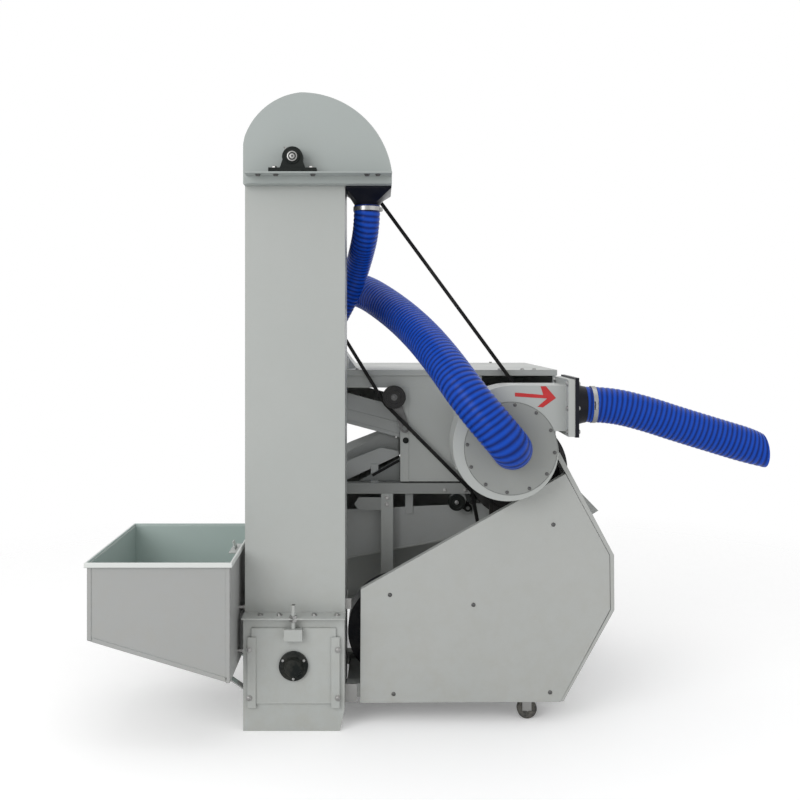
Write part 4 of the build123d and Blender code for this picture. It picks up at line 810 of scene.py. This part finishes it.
# Sheet pan in the front bay of the base: a flat bed with its rim turned up, carried along X, in
# darker enamel as painted shade over the floor seen through the frame
pan = {"x": (155, 796), "y": (-29, 204), "z": 96, "thick": 1.5, "lip": 14, "lean": 0.5,
       "smooth": 20}
(near, far), thick = pan["y"], pan["thick"]
under = np.array([(near, pan["z"] + pan["lip"]), (near + pan["lean"], pan["z"]),
                  (far - pan["lean"], pan["z"]), (far, pan["z"] + pan["lip"])])
over = under + [[thick, 0], [thick, thick], [-thick, thick], [-thick, 0]]
section = np.concatenate([under, over[::-1]])
rows = np.stack([np.insert(section, 0, x, axis=1) for x in pan["x"]])
shell = capped(rows, rows[0].mean(0), rows[-1].mean(0))
makePiece("basePan", shell.reshape(-1, 3), gridFaces(len(shell), len(section)), "machine",
          "enamel", "shade_enamel", smooth=pan["smooth"])

# Folds that stiffen the side of the deck and the foot of the hung box
folds = {"thick": 1.8, "deckStart": 248.2, "boxStart": 260.2,
         "deck": {"Upper": ((20, 950), (322, 871), 4), "Lower": ((20, 915), (322, 834), 4)},
         "box": ((-52, 377.5), (470, 474.5), 6)}
for label, band in folds["deck"].items():
    platePiece("deckFold" + label, strip(*band), folds["deckStart"], folds["thick"], "deck",
               "deck_enamel", "deck_enamel")
platePiece("boxFold", strip(*folds["box"]), folds["boxStart"], folds["thick"], "box",
           "deck_enamel", "cover_enamel")
print("sheet forms made")

# Floor: pale, a little brighter to the camera, and faded out round the machine
ground = {"size": 40, "colour": (0.93, 0.93, 0.93, 1), "rough": 1.0, "spec": 0.1, "glow": 0.165,
          "centre": (0.42, 0.25, 0.0), "fade": (1.5, 3.2)}
bpy.ops.mesh.primitive_plane_add(size=ground["size"], location=(0, 0, 0))
floor = bpy.context.object
floor.name = "floor"
floorPaint = bpy.data.materials.new("floorPaint")
floorPaint.use_nodes = True
floorTree = floorPaint.node_tree
floorShader = floorTree.nodes["Principled BSDF"]
floorShader.inputs["Base Color"].default_value = ground["colour"]
floorShader.inputs["Roughness"].default_value = ground["rough"]
floorShader.inputs["Specular IOR Level"].default_value = ground["spec"]
reach = vectorMaths(floorTree, "DISTANCE", objectPlace(floorTree), ground["centre"])
feed(floorTree, floorShader.inputs["Alpha"],
     remap(floorTree, reach.outputs["Value"], *ground["fade"], 1.0, 0.0))
seen = addNode(floorTree, "ShaderNodeLightPath")
floorShader.inputs["Emission Color"].default_value = (1, 1, 1, 1)
feed(floorTree, floorShader.inputs["Emission Strength"],
     maths(floorTree, "MULTIPLY", seen.outputs["Is Camera Ray"], ground["glow"]))
floor.data.materials.append(floorPaint)

# Lamps: place, size and power, all turned towards the middle of the machine
lamps = {"key": ((-2.3, -3.3, 2.3), 2.6, 72), "fill": ((3.2, -2.6, 1.6), 3.0, 12),
         "top": ((0.5, 0.4, 4.2), 3.4, 26)}
lampTarget = Vector((0.35, 0.1, 0.85))
for name, (place, size, power) in lamps.items():
    lamp = bpy.data.lights.new(name, "AREA")
    lamp.size = size
    lamp.energy = power
    holder = bpy.data.objects.new(name, lamp)
    holder.location = place
    holder.rotation_euler = (lampTarget - Vector(place)).to_track_quat("-Z", "Y").to_euler()
    bpy.context.scene.collection.objects.link(holder)

# World: white to the camera, to gloss and through glass, and dimmer as light on the machine
ambient = 0.74
world = bpy.data.worlds.new("studio")
world.use_nodes = True
bpy.context.scene.world = world
tree = world.node_tree
tree.nodes.clear()
rays = addNode(tree, "ShaderNodeLightPath")
seen = maths(tree, "MAXIMUM", rays.outputs["Is Camera Ray"], rays.outputs["Is Glossy Ray"])
seen = maths(tree, "MAXIMUM", seen, rays.outputs["Is Transmission Ray"])
strength = remap(tree, seen, 0.0, 1.0, ambient, 1.0)
background = addNode(tree, "ShaderNodeBackground", {"Color": (1, 1, 1, 1),
                                                    "Strength": strength})
addNode(tree, "ShaderNodeOutputWorld", {"Surface": background.outputs[0]})

# Camera: its place in metres, and its focal length and middle in pixels of the photograph
camera = {"place": (0.249, -2.890, 1.186), "focalPixels": 933.3, "centre": (378, 330),
          "frame": 800, "sensor": 36}
lens = bpy.data.cameras.new("camera")
lens.sensor_width = camera["sensor"]
lens.lens = camera["sensor"] * camera["focalPixels"] / camera["frame"]
lens.shift_x = (camera["frame"] / 2 - camera["centre"][0]) / camera["frame"]
lens.shift_y = (camera["centre"][1] - camera["frame"] / 2) / camera["frame"]
eye = bpy.data.objects.new("camera", lens)
eye.location = camera["place"]
eye.rotation_euler = (math.radians(90), 0, 0)
bpy.context.scene.collection.objects.link(eye)
bpy.context.scene.camera = eye
bpy.context.scene.view_settings.view_transform = "Standard"
print("stage set")
